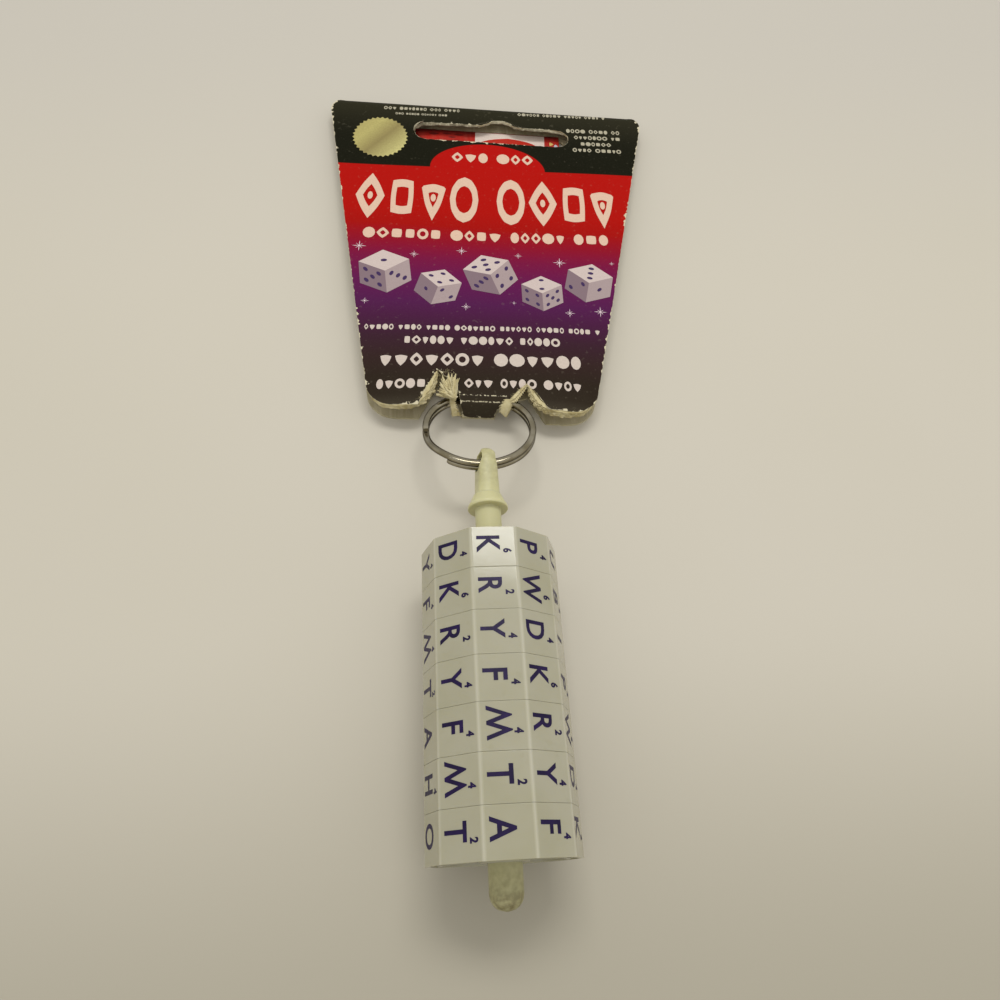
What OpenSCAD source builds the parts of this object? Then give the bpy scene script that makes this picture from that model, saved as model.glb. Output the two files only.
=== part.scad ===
// Key-chain word game: seven ten-sided magnetic letter wheels on a moulded spindle,
// a split ring through the spindle's eye, and a folded card hang tag on the ring.
// Origin: on the table, under the spindle, at the middle of the wheel stack.
// +Y runs along the spindle towards the split ring, +Z is up.

/* [Wheels] */
// Number of letter wheels on the spindle
wheel_count = 7; // [5:1:7]
// Distance across two opposite flats of a wheel
wheel_flats = 25.4; // [22:0.2:30]
// Width of one wheel along the spindle
wheel_w = 7.85; // [7:0.05:10]
// Seam between neighbouring wheels
wheel_seam = 0.1; // [0.05:0.05:0.3]
// Bevel along the outer edges of a wheel
wheel_bevel = 0.28; // [0.1:0.02:0.6]
// How far the corners between the facets are rounded off
corner_cut = 0.14; // [0.05:0.01:0.3]
// Radius of the hole through a wheel's hub
bore_r = 3.15; // [2.9:0.05:3.6]
// Depth of the dished recess in each face of a wheel
recess_depth = 1.0; // [0.5:0.1:1.5]
// Width of the flat rim round the recess, at the middle of a facet
rim_w = 2.3; // [2:0.1:3]
// How far the recess and hub walls slope inwards
draft = 0.35; // [0.1:0.05:0.6]
// Wall of the hub tube round the hole
hub_wall = 1.45; // [1:0.05:2]

/* [Wheel bumps] */
// Number of small bumps round the rim, one for each letter facet
bump_count = 10; // [5:1:10]
// Radius of the ball that forms a bump
bump_ball_r = 0.55; // [0.4:0.05:0.7]
// Height of a bump above the rim
bump_h = 0.35; // [0.2:0.05:0.5]
// Free space round a bump in the neighbour's groove
bump_clear = 0.14; // [0.1:0.02:0.25]

/* [Magnets] */
// Thickness of the ring magnet
magnet_t = 3.0; // [2:0.1:3.5]
// Width of the ring magnet's flat face, from its hole to its edge
magnet_band = 4.3; // [3:0.1:5]
// Free space round a magnet in its pocket
magnet_clear = 0.1; // [0.05:0.05:0.3]
// Thickness of the cap that closes the magnet's pocket
cap_t = 1.1; // [0.8:0.1:1.5]
// Width of the ledge that the cap sits on
cap_ledge = 0.7; // [0.4:0.1:1]
// Free space round the cap in its seat
cap_clear = 0.04; // [0.02:0.01:0.1]

/* [Spindle] */
// Radius of the spindle's shaft
shaft_r = 2.65; // [2.4:0.05:2.8]
// Radius of the bulge that keeps the wheels on the spindle
bulge_r = 2.9; // [2.8:0.02:2.9]
// How far the spindle stands out below the last wheel
tip_out = 7.2; // [6:0.2:10]
// Length of the bulge with its rounded end
bulge_len = 4.9; // [4:0.1:5.5]
// Radius that rounds the spindle's end
tip_round = 1.8; // [1:0.1:2.5]
// Free play of the stack along the shaft, up to the flange
free_play = 9.8; // [3:0.2:14]
// Sag of the spindle in the loose wheel holes
spindle_sag = 0.2; // [0:0.05:0.2]
// Radius of the flange
flange_r = 4.0; // [3.6:0.1:5]
// Thickness of the flange's rim
flange_rim = 0.9; // [0.6:0.1:1.5]
// Length of the cone from the flange to the eye post
flange_cone = 2.3; // [1.5:0.1:3]

/* [Eye post] */
// Radius of the round eye post at the flange
post_r = 2.85; // [2.7:0.05:3.1]
// Radius of the rounded end of the eye post
eye_end_r = 3.0; // [2.9:0.05:3.4]
// Distance from the flange's face to the middle of the eye
eye_reach = 11.4; // [10.5:0.1:14]
// Radius of the hole for the split ring
eye_r = 2.15; // [2.1:0.05:2.3]
// Half width of the post across its two flats, at the flange
flat_base = 2.45; // [2.2:0.05:2.7]
// Half width of the post across its two flats, at the eye
flat_eye = 1.95; // [1.8:0.05:2.2]

/* [Split ring] */
// Outer diameter of the split ring
ring_d = 25.4; // [24:0.2:26]
// Width of the wire, across the ring
wire_w = 1.5; // [1.2:0.05:1.6]
// Height of the wire, along the ring's axis
wire_h = 0.82; // [0.7:0.02:0.86]
// Bevel of the wire's edges
wire_bevel = 0.24; // [0.1:0.02:0.3]
// Gap between the two coils
coil_gap = 0.42; // [0.41:0.01:0.5]
// Angle where the upper coil ends
coil_end = 184; // [150:1:210]
// Angle over which the wire climbs from the lower coil to the upper one
climb = 49; // [35:1:70]
// Slope of the ring from the eye down to the tag
ring_tilt = 18; // [16:0.5:20]
// Sideways place of the ring in the loose eye
ring_shift = -0.2; // [-0.4:0.05:0.2]
// Height of the wire's middle in the eye, below the eye's own middle
wire_drop = 0.75; // [0.6:0.05:0.8]
// Distance of the wire's middle in front of the eye's own middle
wire_lead = 0.3; // [0.2:0.05:0.4]

/* [Hang tag] */
// Thickness of the card
card_t = 0.45; // [0.3:0.05:0.6]
// Width of the tag at its top fold
tag_top_w = 91.5; // [80:0.5:100]
// Width of the tag at its bottom edge
tag_bottom_w = 55; // [50:0.5:65]
// Height of the tag
tag_h = 110; // [100:1:125]
// Radius of the top corners
top_corner_r = 3; // [2:0.5:6]
// Radius of the bottom corners
bottom_corner_r = 7; // [4:0.5:9]
// Turn of the tag on the table, towards +X
tag_turn = -3.4; // [-5:0.2:0]
// Place of the tag's bottom edge along the split ring, from the ring wire's middle
ring_inset = 4.3; // [4:0.1:5]
// Sideways place of the tag's middle line
tag_x = 0.98; // [0:0.05:2]
// Height inside the folded card at its top
fold_gap = 2.85; // [2:0.05:3.5]
// Height inside the folded card at its bottom, over the split ring
bottom_gap = 6.0; // [5.9:0.05:6.5]

/* [Ring notches] */
// Width of the card left between the notches, on the left of the middle
tongue_left = 6.0; // [5:0.1:6.2]
// Width of the card left between the notches, on the right of the middle
tongue_right = 4.3; // [3.5:0.1:4.6]
// Length of the straight sides of the tongue
tongue_len = 5.0; // [4.5:0.1:6]
// How far the tongue's sides close in where it meets the back leaf
tongue_draw = 1.1; // [0.5:0.1:1.5]
// Reach of the left notch from the middle line
notch_left = 14.9; // [13:0.1:16]
// Reach of the right notch from the middle line
notch_right = 15.2; // [13:0.1:16]
// Height of the left notch
notch_left_h = 9.9; // [8:0.1:11]
// Height of the right notch
notch_right_h = 7.2; // [6.5:0.1:9]
// Distance of a notch's point from its outer foot, along the edge
notch_lean = 4.2; // [3:0.1:5]

/* [Hang slot] */
// Length of the hang slot
slot_len = 45; // [35:0.5:50]
// Height of the hang slot
slot_h = 6.4; // [5.5:0.1:8]
// Distance from the top fold to the middle of the hang slot
slot_drop = 12.2; // [10:0.1:15]
// Sideways place of the hang slot
slot_shift = 1.4; // [-3:0.1:3]
// Width of the raised part of the hang slot
slot_bump_w = 12.4; // [8:0.2:16]
// Rise of the raised part of the hang slot
slot_bump_h = 2.8; // [1.5:0.1:4]
// Sideways place of the raised part, from the middle of the slot
slot_bump_shift = 2.1; // [-4:0.1:4]

/* [Instruction slip] */
// Width of the folded slip inside the card
slip_w = 43.2; // [36:0.2:46]
// Thickness of the folded slip
slip_t = 0.4; // [0.3:0.05:0.6]
// Distance from the tag's bottom edge to the slip
slip_up = 14; // [12:0.5:20]
// Distance from the slip to the middle of the top fold
slip_drop = 6; // [4:0.5:10]
// Gap between the slip and the card under it
slip_clear = 0.05; // [0.03:0.01:0.1]

/* [Hidden] */
$fn = 48;
eps = 0.01;
through = 60;

apothem = wheel_flats / 2;
corner_r = apothem / cos(18) - corner_cut;
pitch = wheel_w + wheel_seam;
stack_len = wheel_count * pitch - wheel_seam;
recess_r = apothem - rim_w;
hub_r = bore_r + hub_wall;
cap_seat_r = recess_r - draft;
pocket_r = cap_seat_r - cap_ledge;
cap_top = wheel_w - recess_depth;
cap_bottom = cap_top - cap_t;
magnet_r = pocket_r - magnet_clear;
magnet_hole_r = magnet_r - magnet_band;
pocket_floor = cap_bottom - magnet_t - 2 * magnet_clear;
bump_sink = bump_ball_r - bump_h;
bump_foot_r = sqrt(bump_ball_r * bump_ball_r - bump_sink * bump_sink);
bump_circle_r = (recess_r + apothem) / 2 + 0.1;
groove_w = 2 * (bump_foot_r + bump_clear);
groove_depth = bump_h + bump_clear;

spindle_z = apothem - spindle_sag;
tip_y = -stack_len / 2 - tip_out;
flange_y = stack_len / 2 + free_play;
eye_y = flange_y + eye_reach;
neck_blend = 1.2;

ring_r = ring_d / 2 - wire_w / 2;
coil_rise = (wire_h + coil_gap) / 2;
ring_near_y = eye_y - wire_lead;
ring_near_z = spindle_z - wire_drop;
ring_y = ring_near_y + ring_r * cos(ring_tilt);
ring_z = ring_near_z - ring_r * sin(ring_tilt);
ring_far_y = ring_near_y + 2 * ring_r * cos(ring_tilt);
step_angle = 7.5;
coil_start = coil_end + climb;
coil_turn = 720 - climb;
coil_steps = round(coil_turn / step_angle);

tag_y = ring_far_y - ring_inset;
fold_outer = (fold_gap + 2 * card_t) / 2;
fold_v = tag_h - fold_outer;
leaf_slope = (bottom_gap - fold_gap) / fold_v;
slot_v = tag_h - slot_drop;
slip_h = fold_v - slip_drop - slip_up;

wheel_white = [0.87, 0.87, 0.80];
cap_white = [0.80, 0.81, 0.73];
magnet_grey = [0.25, 0.25, 0.27];
spindle_cream = [0.84, 0.83, 0.62];
nickel = [0.70, 0.70, 0.68];
card_black = [0.13, 0.10, 0.14];
card_kraft = [0.70, 0.67, 0.55];
slip_red = [0.80, 0.16, 0.10];

WHEELS = [for (k = [1:wheel_count]) k];

// Points of an arc about [cx, cy] from angle a to angle b
function arc(cx, cy, r, a, b, steps = 8) =
    [for (i = [0:steps]) [cx + r * cos(a + (b - a) * i / steps), cy + r * sin(a + (b - a) * i / steps)]];

// Height of the front leaf's underside at a distance v from the tag's bottom edge
function leaf_z(v) = card_t + bottom_gap - leaf_slope * v;

// Stands a shape that was drawn along its own Z axis on the wheel axis, along +Y
module along_axis(y, z) {
    translate([0, y, z])
        rotate([-90, 0, 0])
            children();
}

// Centre of wheel k along the spindle; wheel 1 is next to the split ring
function wheel_y(k) = ((wheel_count + 1) / 2 - k) * pitch;

module place_wheel(k) {
    along_axis(wheel_y(k) - wheel_w / 2, apothem)
        children();
}

// ---- Wheels ----

// One slab between two opposite facets, with bevelled edges
module facet_slab() {
    a = apothem;
    b = wheel_bevel;
    rotate([90, 0, 90])
        linear_extrude(height = 2 * wheel_flats, center = true)
            polygon([
                [-a + b, 0], [a - b, 0], [a, b], [a, wheel_w - b],
                [a - b, wheel_w], [-a + b, wheel_w], [-a, wheel_w - b], [-a, b]
            ]);
}

// Round blank of the same width, which rounds off the corners between the facets
module turned_blank() {
    r = corner_r;
    b = wheel_bevel;
    rotate_extrude()
        polygon([[0, 0], [r - b, 0], [r, b], [r, wheel_w - b], [r - b, wheel_w], [0, wheel_w]]);
}

// The ten-sided blank is what five slabs and the round blank have in common
module wheel_blank() {
    intersection() {
        turned_blank();
        intersection_for(i = [0:4])
            rotate([0, 0, 36 * i])
                facet_slab();
    }
}

// Dished recess in the face that looks towards the spindle's tip
module tip_side_recess() {
    rotate_extrude()
        polygon([
            [hub_r - draft, -eps], [recess_r, -eps],
            [cap_seat_r, recess_depth], [hub_r, recess_depth]
        ]);
}

// Ring-side recess, the cap's seat and the magnet's pocket, cut from one face
module ring_side_pocket() {
    rotate_extrude()
        polygon([
            [hub_r, pocket_floor], [pocket_r, pocket_floor],
            [pocket_r, cap_bottom], [cap_seat_r, cap_bottom], [cap_seat_r, cap_top],
            [recess_r, wheel_w + eps], [hub_r - draft, wheel_w + eps], [hub_r, cap_top]
        ]);
}

// Groove in which the neighbour's bumps run
module bump_groove() {
    rotate_extrude()
        translate([bump_circle_r - groove_w / 2, -eps])
            square([groove_w, groove_depth + eps]);
}

module bumps() {
    for (i = [0:bump_count - 1])
        rotate([0, 0, 360 / bump_count * (i + 0.5)])
            translate([bump_circle_r, 0, wheel_w - bump_sink])
                sphere(r = bump_ball_r);
}

module wheel_drum(k) {
    color(wheel_white)
        place_wheel(k)
            union() {
                difference() {
                    wheel_blank();
                    translate([0, 0, -eps])
                        cylinder(r = bore_r, h = wheel_w + 2 * eps);
                    tip_side_recess();
                    ring_side_pocket();
                    bump_groove();
                }
                bumps();
            }
}

module ring_plate(outer_r, inner_r, bottom, thickness) {
    translate([0, 0, bottom])
        difference() {
            cylinder(r = outer_r, h = thickness);
            translate([0, 0, -eps])
                cylinder(r = inner_r, h = thickness + 2 * eps);
        }
}

module wheel_cap(k) {
    color(cap_white)
        place_wheel(k)
            ring_plate(cap_seat_r - cap_clear, hub_r + cap_clear, cap_bottom, cap_t);
}

module wheel_magnet(k) {
    color(magnet_grey)
        place_wheel(k)
            ring_plate(magnet_r, magnet_hole_r, pocket_floor + magnet_clear, magnet_t);
}

// ---- Spindle ----

// Shaft, bulged tip, flange and round eye post as one turned profile
module turned_spindle() {
    tip_flat = bulge_r - tip_round;
    bulge_top = tip_y + bulge_len;
    rotate_extrude()
        polygon(concat(
            [[0, tip_y]],
            arc(tip_flat, tip_y + tip_round, tip_round, -90, 0),
            [
                [bulge_r, bulge_top - neck_blend], [shaft_r, bulge_top],
                [shaft_r, flange_y], [flange_r, flange_y], [flange_r, flange_y + flange_rim],
                [post_r, flange_y + flange_rim + flange_cone]
            ],
            arc(0, eye_y, eye_end_r, 0, 90)
        ));
}

// Outline that the two flats leave of the post, seen from above
module post_plan() {
    base_y = flange_y + flange_rim + flange_cone;
    polygon(concat(
        [[-through, tip_y - 1], [through, tip_y - 1], [through, base_y - eps], [flat_base, base_y - eps]],
        [[flat_eye, eye_y]],
        arc(0, eye_y + eye_end_r - flat_eye, flat_eye, 0, 180, 16),
        [[-flat_eye, eye_y]],
        [[-flat_base, base_y - eps], [-through, base_y - eps]]
    ));
}

module spindle() {
    color(spindle_cream)
        translate([0, 0, spindle_z])
            difference() {
                intersection() {
                    rotate([-90, 0, 0])
                        turned_spindle();
                    linear_extrude(height = through, center = true)
                        post_plan();
                }
                translate([0, eye_y, 0])
                    rotate([0, 90, 0])
                        cylinder(r = eye_r, h = through, center = true);
            }
}

// ---- Split ring ----

// Share of the climb that is done at angle t along the wire, eased at both ends
function climbed(t) =
    let (u = min(1, max(0, (t - (coil_end + 360)) / climb)))
    u * u * (3 - 2 * u);

// Outline of the wire about its middle: [across the ring, along its axis]
function wire_outline() =
    let (w = wire_w / 2, h = wire_h / 2, b = wire_bevel)
    [[w - b, -h], [w, b - h], [w, h - b], [w - b, h], [b - w, h], [-w, h - b], [-w, b - h], [b - w, -h]];

// Corner points of the wire at angle t, about the ring's own middle
function wire_section(t) =
    let (lift = coil_rise * (2 * climbed(t) - 1))
    [for (p = wire_outline()) [(ring_r + p[0]) * cos(t), (ring_r + p[0]) * sin(t), lift + p[1]]];

function wire_angle(i) = coil_start + coil_turn * i / coil_steps;

module split_ring() {
    sections = [for (i = [0:coil_steps]) wire_section(wire_angle(i))];
    sides = len(wire_outline());
    points = [for (s = sections) each s];
    skin = [
        for (i = [0:coil_steps - 1], j = [0:sides - 1])
            let (a = i * sides + j, b = i * sides + (j + 1) % sides)
            each [[a, a + sides, b + sides], [a, b + sides, b]]
    ];
    last = coil_steps * sides;
    start_cap = [for (j = [1:sides - 2]) [0, j, j + 1]];
    end_cap = [for (j = [1:sides - 2]) [last, last + j + 1, last + j]];
    half_turn = round(180 / step_angle);
    gaps = [
        for (i = [0:coil_steps - half_turn], j = [i + half_turn:coil_steps])
            if (norm(sections[i][0] - sections[j][0]) < 4 * wire_w)
                min([for (p = sections[i], q = sections[j]) norm(p - q)])
    ];
    echo(least_gap_between_coils = min(gaps));
    color(nickel)
        translate([ring_shift, ring_y, ring_z])
            rotate([-ring_tilt, 0, 0])
                polyhedron(points = points, faces = concat(skin, start_cap, end_cap));
}

// ---- Hang tag ----

module place_tag() {
    translate([tag_x, tag_y, 0])
        rotate([0, 0, tag_turn])
            children();
}

// Whole outline of the folded tag
module tag_outline() {
    top_x = tag_top_w / 2 - top_corner_r;
    bottom_x = tag_bottom_w / 2 - bottom_corner_r;
    hull() {
        for (side = [-1, 1]) {
            translate([side * top_x, tag_h - top_corner_r])
                circle(r = top_corner_r, $fn = 32);
            translate([side * bottom_x, bottom_corner_r])
                circle(r = bottom_corner_r, $fn = 32);
        }
    }
}

// The two notches that let the split ring through, with draw closing in the tongue between them
module ring_notches(draw) {
    polygon([
        [-notch_left, -1], [-notch_left, 0], [notch_lean - notch_left, notch_left_h],
        [-tongue_left, tongue_len], [draw - tongue_left, card_t], [draw - tongue_left, -1]
    ]);
    polygon([
        [notch_right, -1], [notch_right, 0], [notch_right - notch_lean, notch_right_h],
        [tongue_right, tongue_len], [tongue_right - draw, card_t], [tongue_right - draw, -1]
    ]);
}

// Hang slot with round ends and a raised part, whose edge follows a cosine
module hang_slot() {
    end_x = (slot_len - slot_h) / 2;
    bump_steps = 12;
    translate([slot_shift, slot_v]) {
        square([2 * end_x, slot_h], center = true);
        for (side = [-1, 1])
            translate([side * end_x, 0])
                circle(d = slot_h);
        translate([slot_bump_shift, slot_h / 2])
            polygon(concat(
                [[-slot_bump_w / 2, -eps]],
                [
                    for (i = [0:bump_steps])
                        let (t = i / bump_steps)
                        [slot_bump_w * (t - 0.5), slot_bump_h * (1 - cos(360 * t)) / 2]
                ],
                [[slot_bump_w / 2, -eps]]
            ));
    }
}

// Cuts the tag's outline, notches and slot through whatever lies over them
module cut_to_tag(draw) {
    intersection() {
        children();
        translate([0, 0, -1])
            linear_extrude(height = through)
                difference() {
                    tag_outline();
                    ring_notches(draw);
                    hang_slot();
                }
    }
}

// A profile in the plane of height and distance from the bottom edge, run across the tag
module across_tag(points) {
    rotate([90, 0, 90])
        linear_extrude(height = 2 * tag_top_w, center = true)
            polygon(points);
}

module card_front_leaf() {
    color(card_black)
        place_tag()
            cut_to_tag(0)
                across_tag([
                    [0, leaf_z(0)], [fold_v, leaf_z(fold_v)],
                    [fold_v, leaf_z(fold_v) + card_t], [0, leaf_z(0) + card_t]
                ]);
}

module card_back_leaf() {
    color(card_kraft)
        place_tag()
            cut_to_tag(tongue_draw)
                across_tag([[0, 0], [fold_v, 0], [fold_v, card_t], [0, card_t]]);
}

module card_top_fold() {
    color(card_black)
        place_tag()
            intersection() {
                across_tag(concat(
                    arc(fold_v, fold_outer, fold_outer, -90, 90, 12),
                    arc(fold_v, fold_outer, fold_outer - card_t, 90, -90, 12)
                ));
                translate([0, 0, -1])
                    linear_extrude(height = through)
                        tag_outline();
            }
}

// Wall of card that joins the two leaves round the split ring's far side
module card_ring_spine() {
    color(card_black)
        place_tag()
            intersection() {
                across_tag([[0, card_t], [card_t, card_t], [card_t, leaf_z(card_t)], [0, leaf_z(0)]]);
                rotate([90, 0, 0])
                    linear_extrude(height = through, center = true)
                        polygon([
                            [tongue_draw - tongue_left, card_t], [tongue_right - tongue_draw, card_t],
                            [tongue_right, leaf_z(0)], [-tongue_left, leaf_z(0)]
                        ]);
            }
}

module instruction_slip() {
    color(slip_red)
        place_tag()
            translate([-slip_w / 2, slip_up, card_t + slip_clear])
                cube([slip_w, slip_h, slip_t]);
}

spindle();
split_ring();
for (k = WHEELS) {
    wheel_drum(k);
    wheel_magnet(k);
    wheel_cap(k);
}
card_front_leaf();
card_back_leaf();
card_top_fold();
card_ring_spine();
instruction_slip();
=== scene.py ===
# %% [markdown]
# # A key-chain word game, dressed for the camera
# Seven ten-sided letter wheels sit on a moulded spindle. A split ring runs through the
# spindle's eye and through a folded card hang tag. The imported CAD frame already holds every
# piece at its real size, so this lesson only adds looks: finer meshes where a form shows,
# and a procedural finish on every surface. Shapes are drawn in millimetres. The lamp, the
# heights of bumps and the scales of noise are in metres, as Blender's own unit.

# %% Load the frame
import math

import bpy
import numpy as np
from mathutils import Matrix, Vector
from mathutils.geometry import delaunay_2d_cdt


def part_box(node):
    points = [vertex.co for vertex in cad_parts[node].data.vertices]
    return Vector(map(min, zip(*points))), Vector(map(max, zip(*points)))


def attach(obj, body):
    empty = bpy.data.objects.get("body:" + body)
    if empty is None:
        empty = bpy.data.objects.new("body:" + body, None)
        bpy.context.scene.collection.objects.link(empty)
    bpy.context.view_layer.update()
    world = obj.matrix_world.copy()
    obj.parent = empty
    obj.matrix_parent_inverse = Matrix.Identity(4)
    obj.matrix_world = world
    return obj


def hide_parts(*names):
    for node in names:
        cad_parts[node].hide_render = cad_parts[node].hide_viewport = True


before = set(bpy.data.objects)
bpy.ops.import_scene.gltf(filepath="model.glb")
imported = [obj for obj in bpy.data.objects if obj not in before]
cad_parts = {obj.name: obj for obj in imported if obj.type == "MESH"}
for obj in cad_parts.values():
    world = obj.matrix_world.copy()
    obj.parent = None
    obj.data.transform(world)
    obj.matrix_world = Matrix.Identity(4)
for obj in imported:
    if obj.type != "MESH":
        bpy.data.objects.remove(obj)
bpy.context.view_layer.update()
MM = 0.001

# %% [markdown]
# ## The camera
# A camera is a place, three directions and a focal length. These came from matching the
# wheels, the ring and the tag's corners. A matrix built from the right, up and backward
# directions turns the camera at once, which avoids juggling angles.

# %% Camera
PHOTO_SIDE = 1000
FOCAL_PIXELS = 758.81
SENSOR_WIDTH = 36.0
CAMERA_PLACE = Vector((-10.810, -31.565, 151.566)) * MM
CAMERA_FORWARD = Vector((0.087796, 0.455074, -0.886115)).normalized()
CAMERA_UP = Vector((0.017674, 0.888698, 0.458152))


def add_to_scene(name, data):
    made = bpy.data.objects.new(name, data)
    bpy.context.scene.collection.objects.link(made)
    return made


camera_data = bpy.data.cameras.new("camera")
camera_data.sensor_width = SENSOR_WIDTH
camera_data.lens = FOCAL_PIXELS / PHOTO_SIDE * SENSOR_WIDTH
camera_data.clip_start = 0.005
camera = add_to_scene("camera", camera_data)
camera_right = CAMERA_FORWARD.cross(CAMERA_UP).normalized()
camera_axes = Matrix((camera_right, camera_right.cross(CAMERA_FORWARD), -CAMERA_FORWARD))
camera.matrix_world = Matrix.Translation(CAMERA_PLACE) @ camera_axes.transposed().to_4x4()
bpy.context.scene.camera = camera
bpy.context.scene.view_settings.view_transform = "Standard"

# %% [markdown]
# ## Light
# The object lies on a pale table under even light, with one window high beyond its far end.
# An area lamp stands for the window, placed so that only the top of the wheel next to the
# ring mirrors it towards the camera. A plain pale world gives the rest.

# %% World and lamp
WINDOW_PLACE = Vector((0.05, 0.442, 0.80))
WINDOW_SIZE = (0.55, 0.19)
WINDOW_POWER = 3.1
FILL_STRENGTH = 0.72

world = bpy.data.worlds.new("room")
world.use_nodes = True
bpy.context.scene.world = world
room = world.node_tree.nodes["Background"]
room.inputs["Color"].default_value = (1.0, 0.985, 0.95, 1.0)
room.inputs["Strength"].default_value = FILL_STRENGTH

window_data = bpy.data.lights.new("window", "AREA")
window_data.shape = "RECTANGLE"
window_data.size, window_data.size_y = WINDOW_SIZE
window_data.energy = WINDOW_POWER
window_data.color = (1.0, 0.99, 0.965)
window = add_to_scene("window", window_data)
window.location = WINDOW_PLACE
window.rotation_mode = "QUATERNION"
window.rotation_quaternion = (-WINDOW_PLACE).to_track_quat("-Z", "Y")

# %% [markdown]
# ## Meshes from arrays
# Every new piece is a surface worked out with numpy. A grid of points becomes faces by
# joining each point to its neighbours, and a closed direction joins the last row to the first.


# %% Mesh helpers
def stacked(*parts):
    """Arrays of u and v, or of x, y and z, as one array of points."""
    return np.stack(np.broadcast_arrays(*parts), -1)


def circle(steps):
    """Angles once round, without the first one again at the end."""
    return np.linspace(0, 2 * math.pi, steps, endpoint=False)


def grid_faces(rows, columns, loop_rows=False, loop_columns=False):
    """Quads of a grid of rows x columns points, numbered row by row."""
    r = np.arange(rows if loop_rows else rows - 1)[:, None]
    c = np.arange(columns if loop_columns else columns - 1)
    r2, c2 = (r + 1) % rows, (c + 1) % columns
    quads = stacked(r * columns + c, r * columns + c2, r2 * columns + c2, r2 * columns + c)
    return quads.reshape(-1, 4)


def make_piece(name, points, faces, material, sharp=None):
    """A mesh object in metres from points in millimetres, with smooth faces."""
    mesh = bpy.data.meshes.new(name)
    mesh.from_pydata((np.asarray(points) * MM).tolist(), [], [list(f) for f in faces])
    mesh.polygons.foreach_set("use_smooth", [True] * len(mesh.polygons))
    if sharp is not None:
        mesh.set_sharp_from_angle(angle=math.radians(sharp))
    mesh.validate()
    mesh.materials.append(material)
    return add_to_scene(name, mesh)


def store(piece, name, values):
    """One number for each mesh point, which a material reads by its name."""
    piece.data.attributes.new(name, "FLOAT", "POINT").data.foreach_set("value", values)


def add_map(piece, name, flat):
    """A UV map from one pair of numbers for each mesh point."""
    layer = piece.data.uv_layers.new(name=name)
    corners = np.empty(len(piece.data.loops), int)
    piece.data.loops.foreach_get("vertex_index", corners)
    layer.data.foreach_set("uv", flat[corners].ravel())


def joined(parts):
    """Several (points, faces) pairs as one, with the face numbers moved along."""
    points, faces, count = [], [], 0
    for part_points, part_faces in parts:
        points.append(np.asarray(part_points, float))
        faces.extend((np.asarray(f) + count).tolist() for f in part_faces)
        count += len(part_points)
    return np.concatenate(points), faces


NOISE_FASTER, NOISE_SIZE = 1.73, 2.2


def wave_noise(values, seed, waves, base=1.0):
    """Smooth noise from -1 to 1 along a line: sines of rising frequency, seeded phases."""
    rng = np.random.default_rng(seed)
    values = np.asarray(values, float)
    total = np.zeros_like(values)
    for order in range(waves):
        phase = rng.uniform(0, 6.28)
        total += np.sin(values * (base * NOISE_FASTER**order) + phase) / (1 + order)
    return total / NOISE_SIZE


# %% [markdown]
# ## Node trees
# A material is a tree of small nodes. The class below gives each kind of node that this
# lesson needs a short name, so that a finish reads as a few lines of arithmetic.


# %% Colours and nodes
def tone(red, green, blue):
    """A screen colour of 0 to 255 as linear light: ((c + 0.055) / 1.055) ** 2.4."""
    share = np.array([red, green, blue]) / 255
    linear = np.where(share > 0.04045, ((share + 0.055) / 1.055) ** 2.4, share / 12.92)
    return (*linear.tolist(), 1.0)


class Net:
    """A node tree. Each method adds a node and returns its output."""

    def __init__(self, tree):
        self.tree = tree

    def node(self, kind, wires, **settings):
        """wires maps an input to a value, or to the output that feeds it."""
        made = self.tree.nodes.new("ShaderNode" + kind)
        for name, value in settings.items():
            setattr(made, name, value)
        for key, value in wires.items():
            if isinstance(value, bpy.types.NodeSocket):
                self.tree.links.new(value, made.inputs[key])
            else:
                made.inputs[key].default_value = value
        return made.outputs

    def calc(self, operation, *values, clamp=False):
        wires = dict(enumerate(values))
        return self.node("Math", wires, operation=operation, use_clamp=clamp)[0]

    def span(self, value, low, high, to_low=0.0, to_high=1.0, smooth=False):
        """Maps low..high of a value to to_low..to_high."""
        how = "SMOOTHSTEP" if smooth else "LINEAR"
        wires = {0: value, 1: low, 2: high, 3: to_low, 4: to_high}
        return self.node("MapRange", wires, interpolation_type=how)[0]

    def mix(self, share, first, second):
        """Colour that goes from first to second as share goes from 0 to 1."""
        return self.node("Mix", {0: share, 6: first, 7: second}, data_type="RGBA")[2]

    def ramp(self, value, first, *stops):
        """Colours along a value of 0 to 1, each stop a place and a colour."""
        made = self.node("ValToRGB", {0: value})[0]
        elements = made.node.color_ramp.elements
        elements.remove(elements[1])
        elements[0].position, elements[0].color = first
        for place, colour in stops:
            elements.new(place).color = colour
        return made

    def place(self):
        return self.node("TexCoord", {})["Object"]

    def sheet(self, name):
        return self.node("UVMap", {}, uv_map=name)[0]

    def noise(self, where, scale, detail):
        return self.node("TexNoise", {"Vector": where, "Scale": scale, "Detail": detail})[0]

    def stretched(self, where, scale, turn=(0, 0, 0)):
        wires = {"Vector": where, "Rotation": turn, "Scale": scale}
        return self.node("Mapping", wires)[0]

    def stored(self, name, output="Fac"):
        return self.node("Attribute", {}, attribute_name=name)[output]

    def group(self, tree, *values):
        return self.node("Group", dict(enumerate(values)), node_tree=tree)

    def handled(self, smudge, grain=1400, speck=500):
        """The three masks of the handling group below, at these scales."""
        return self.group(HANDLING, smudge, grain, speck)


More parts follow.
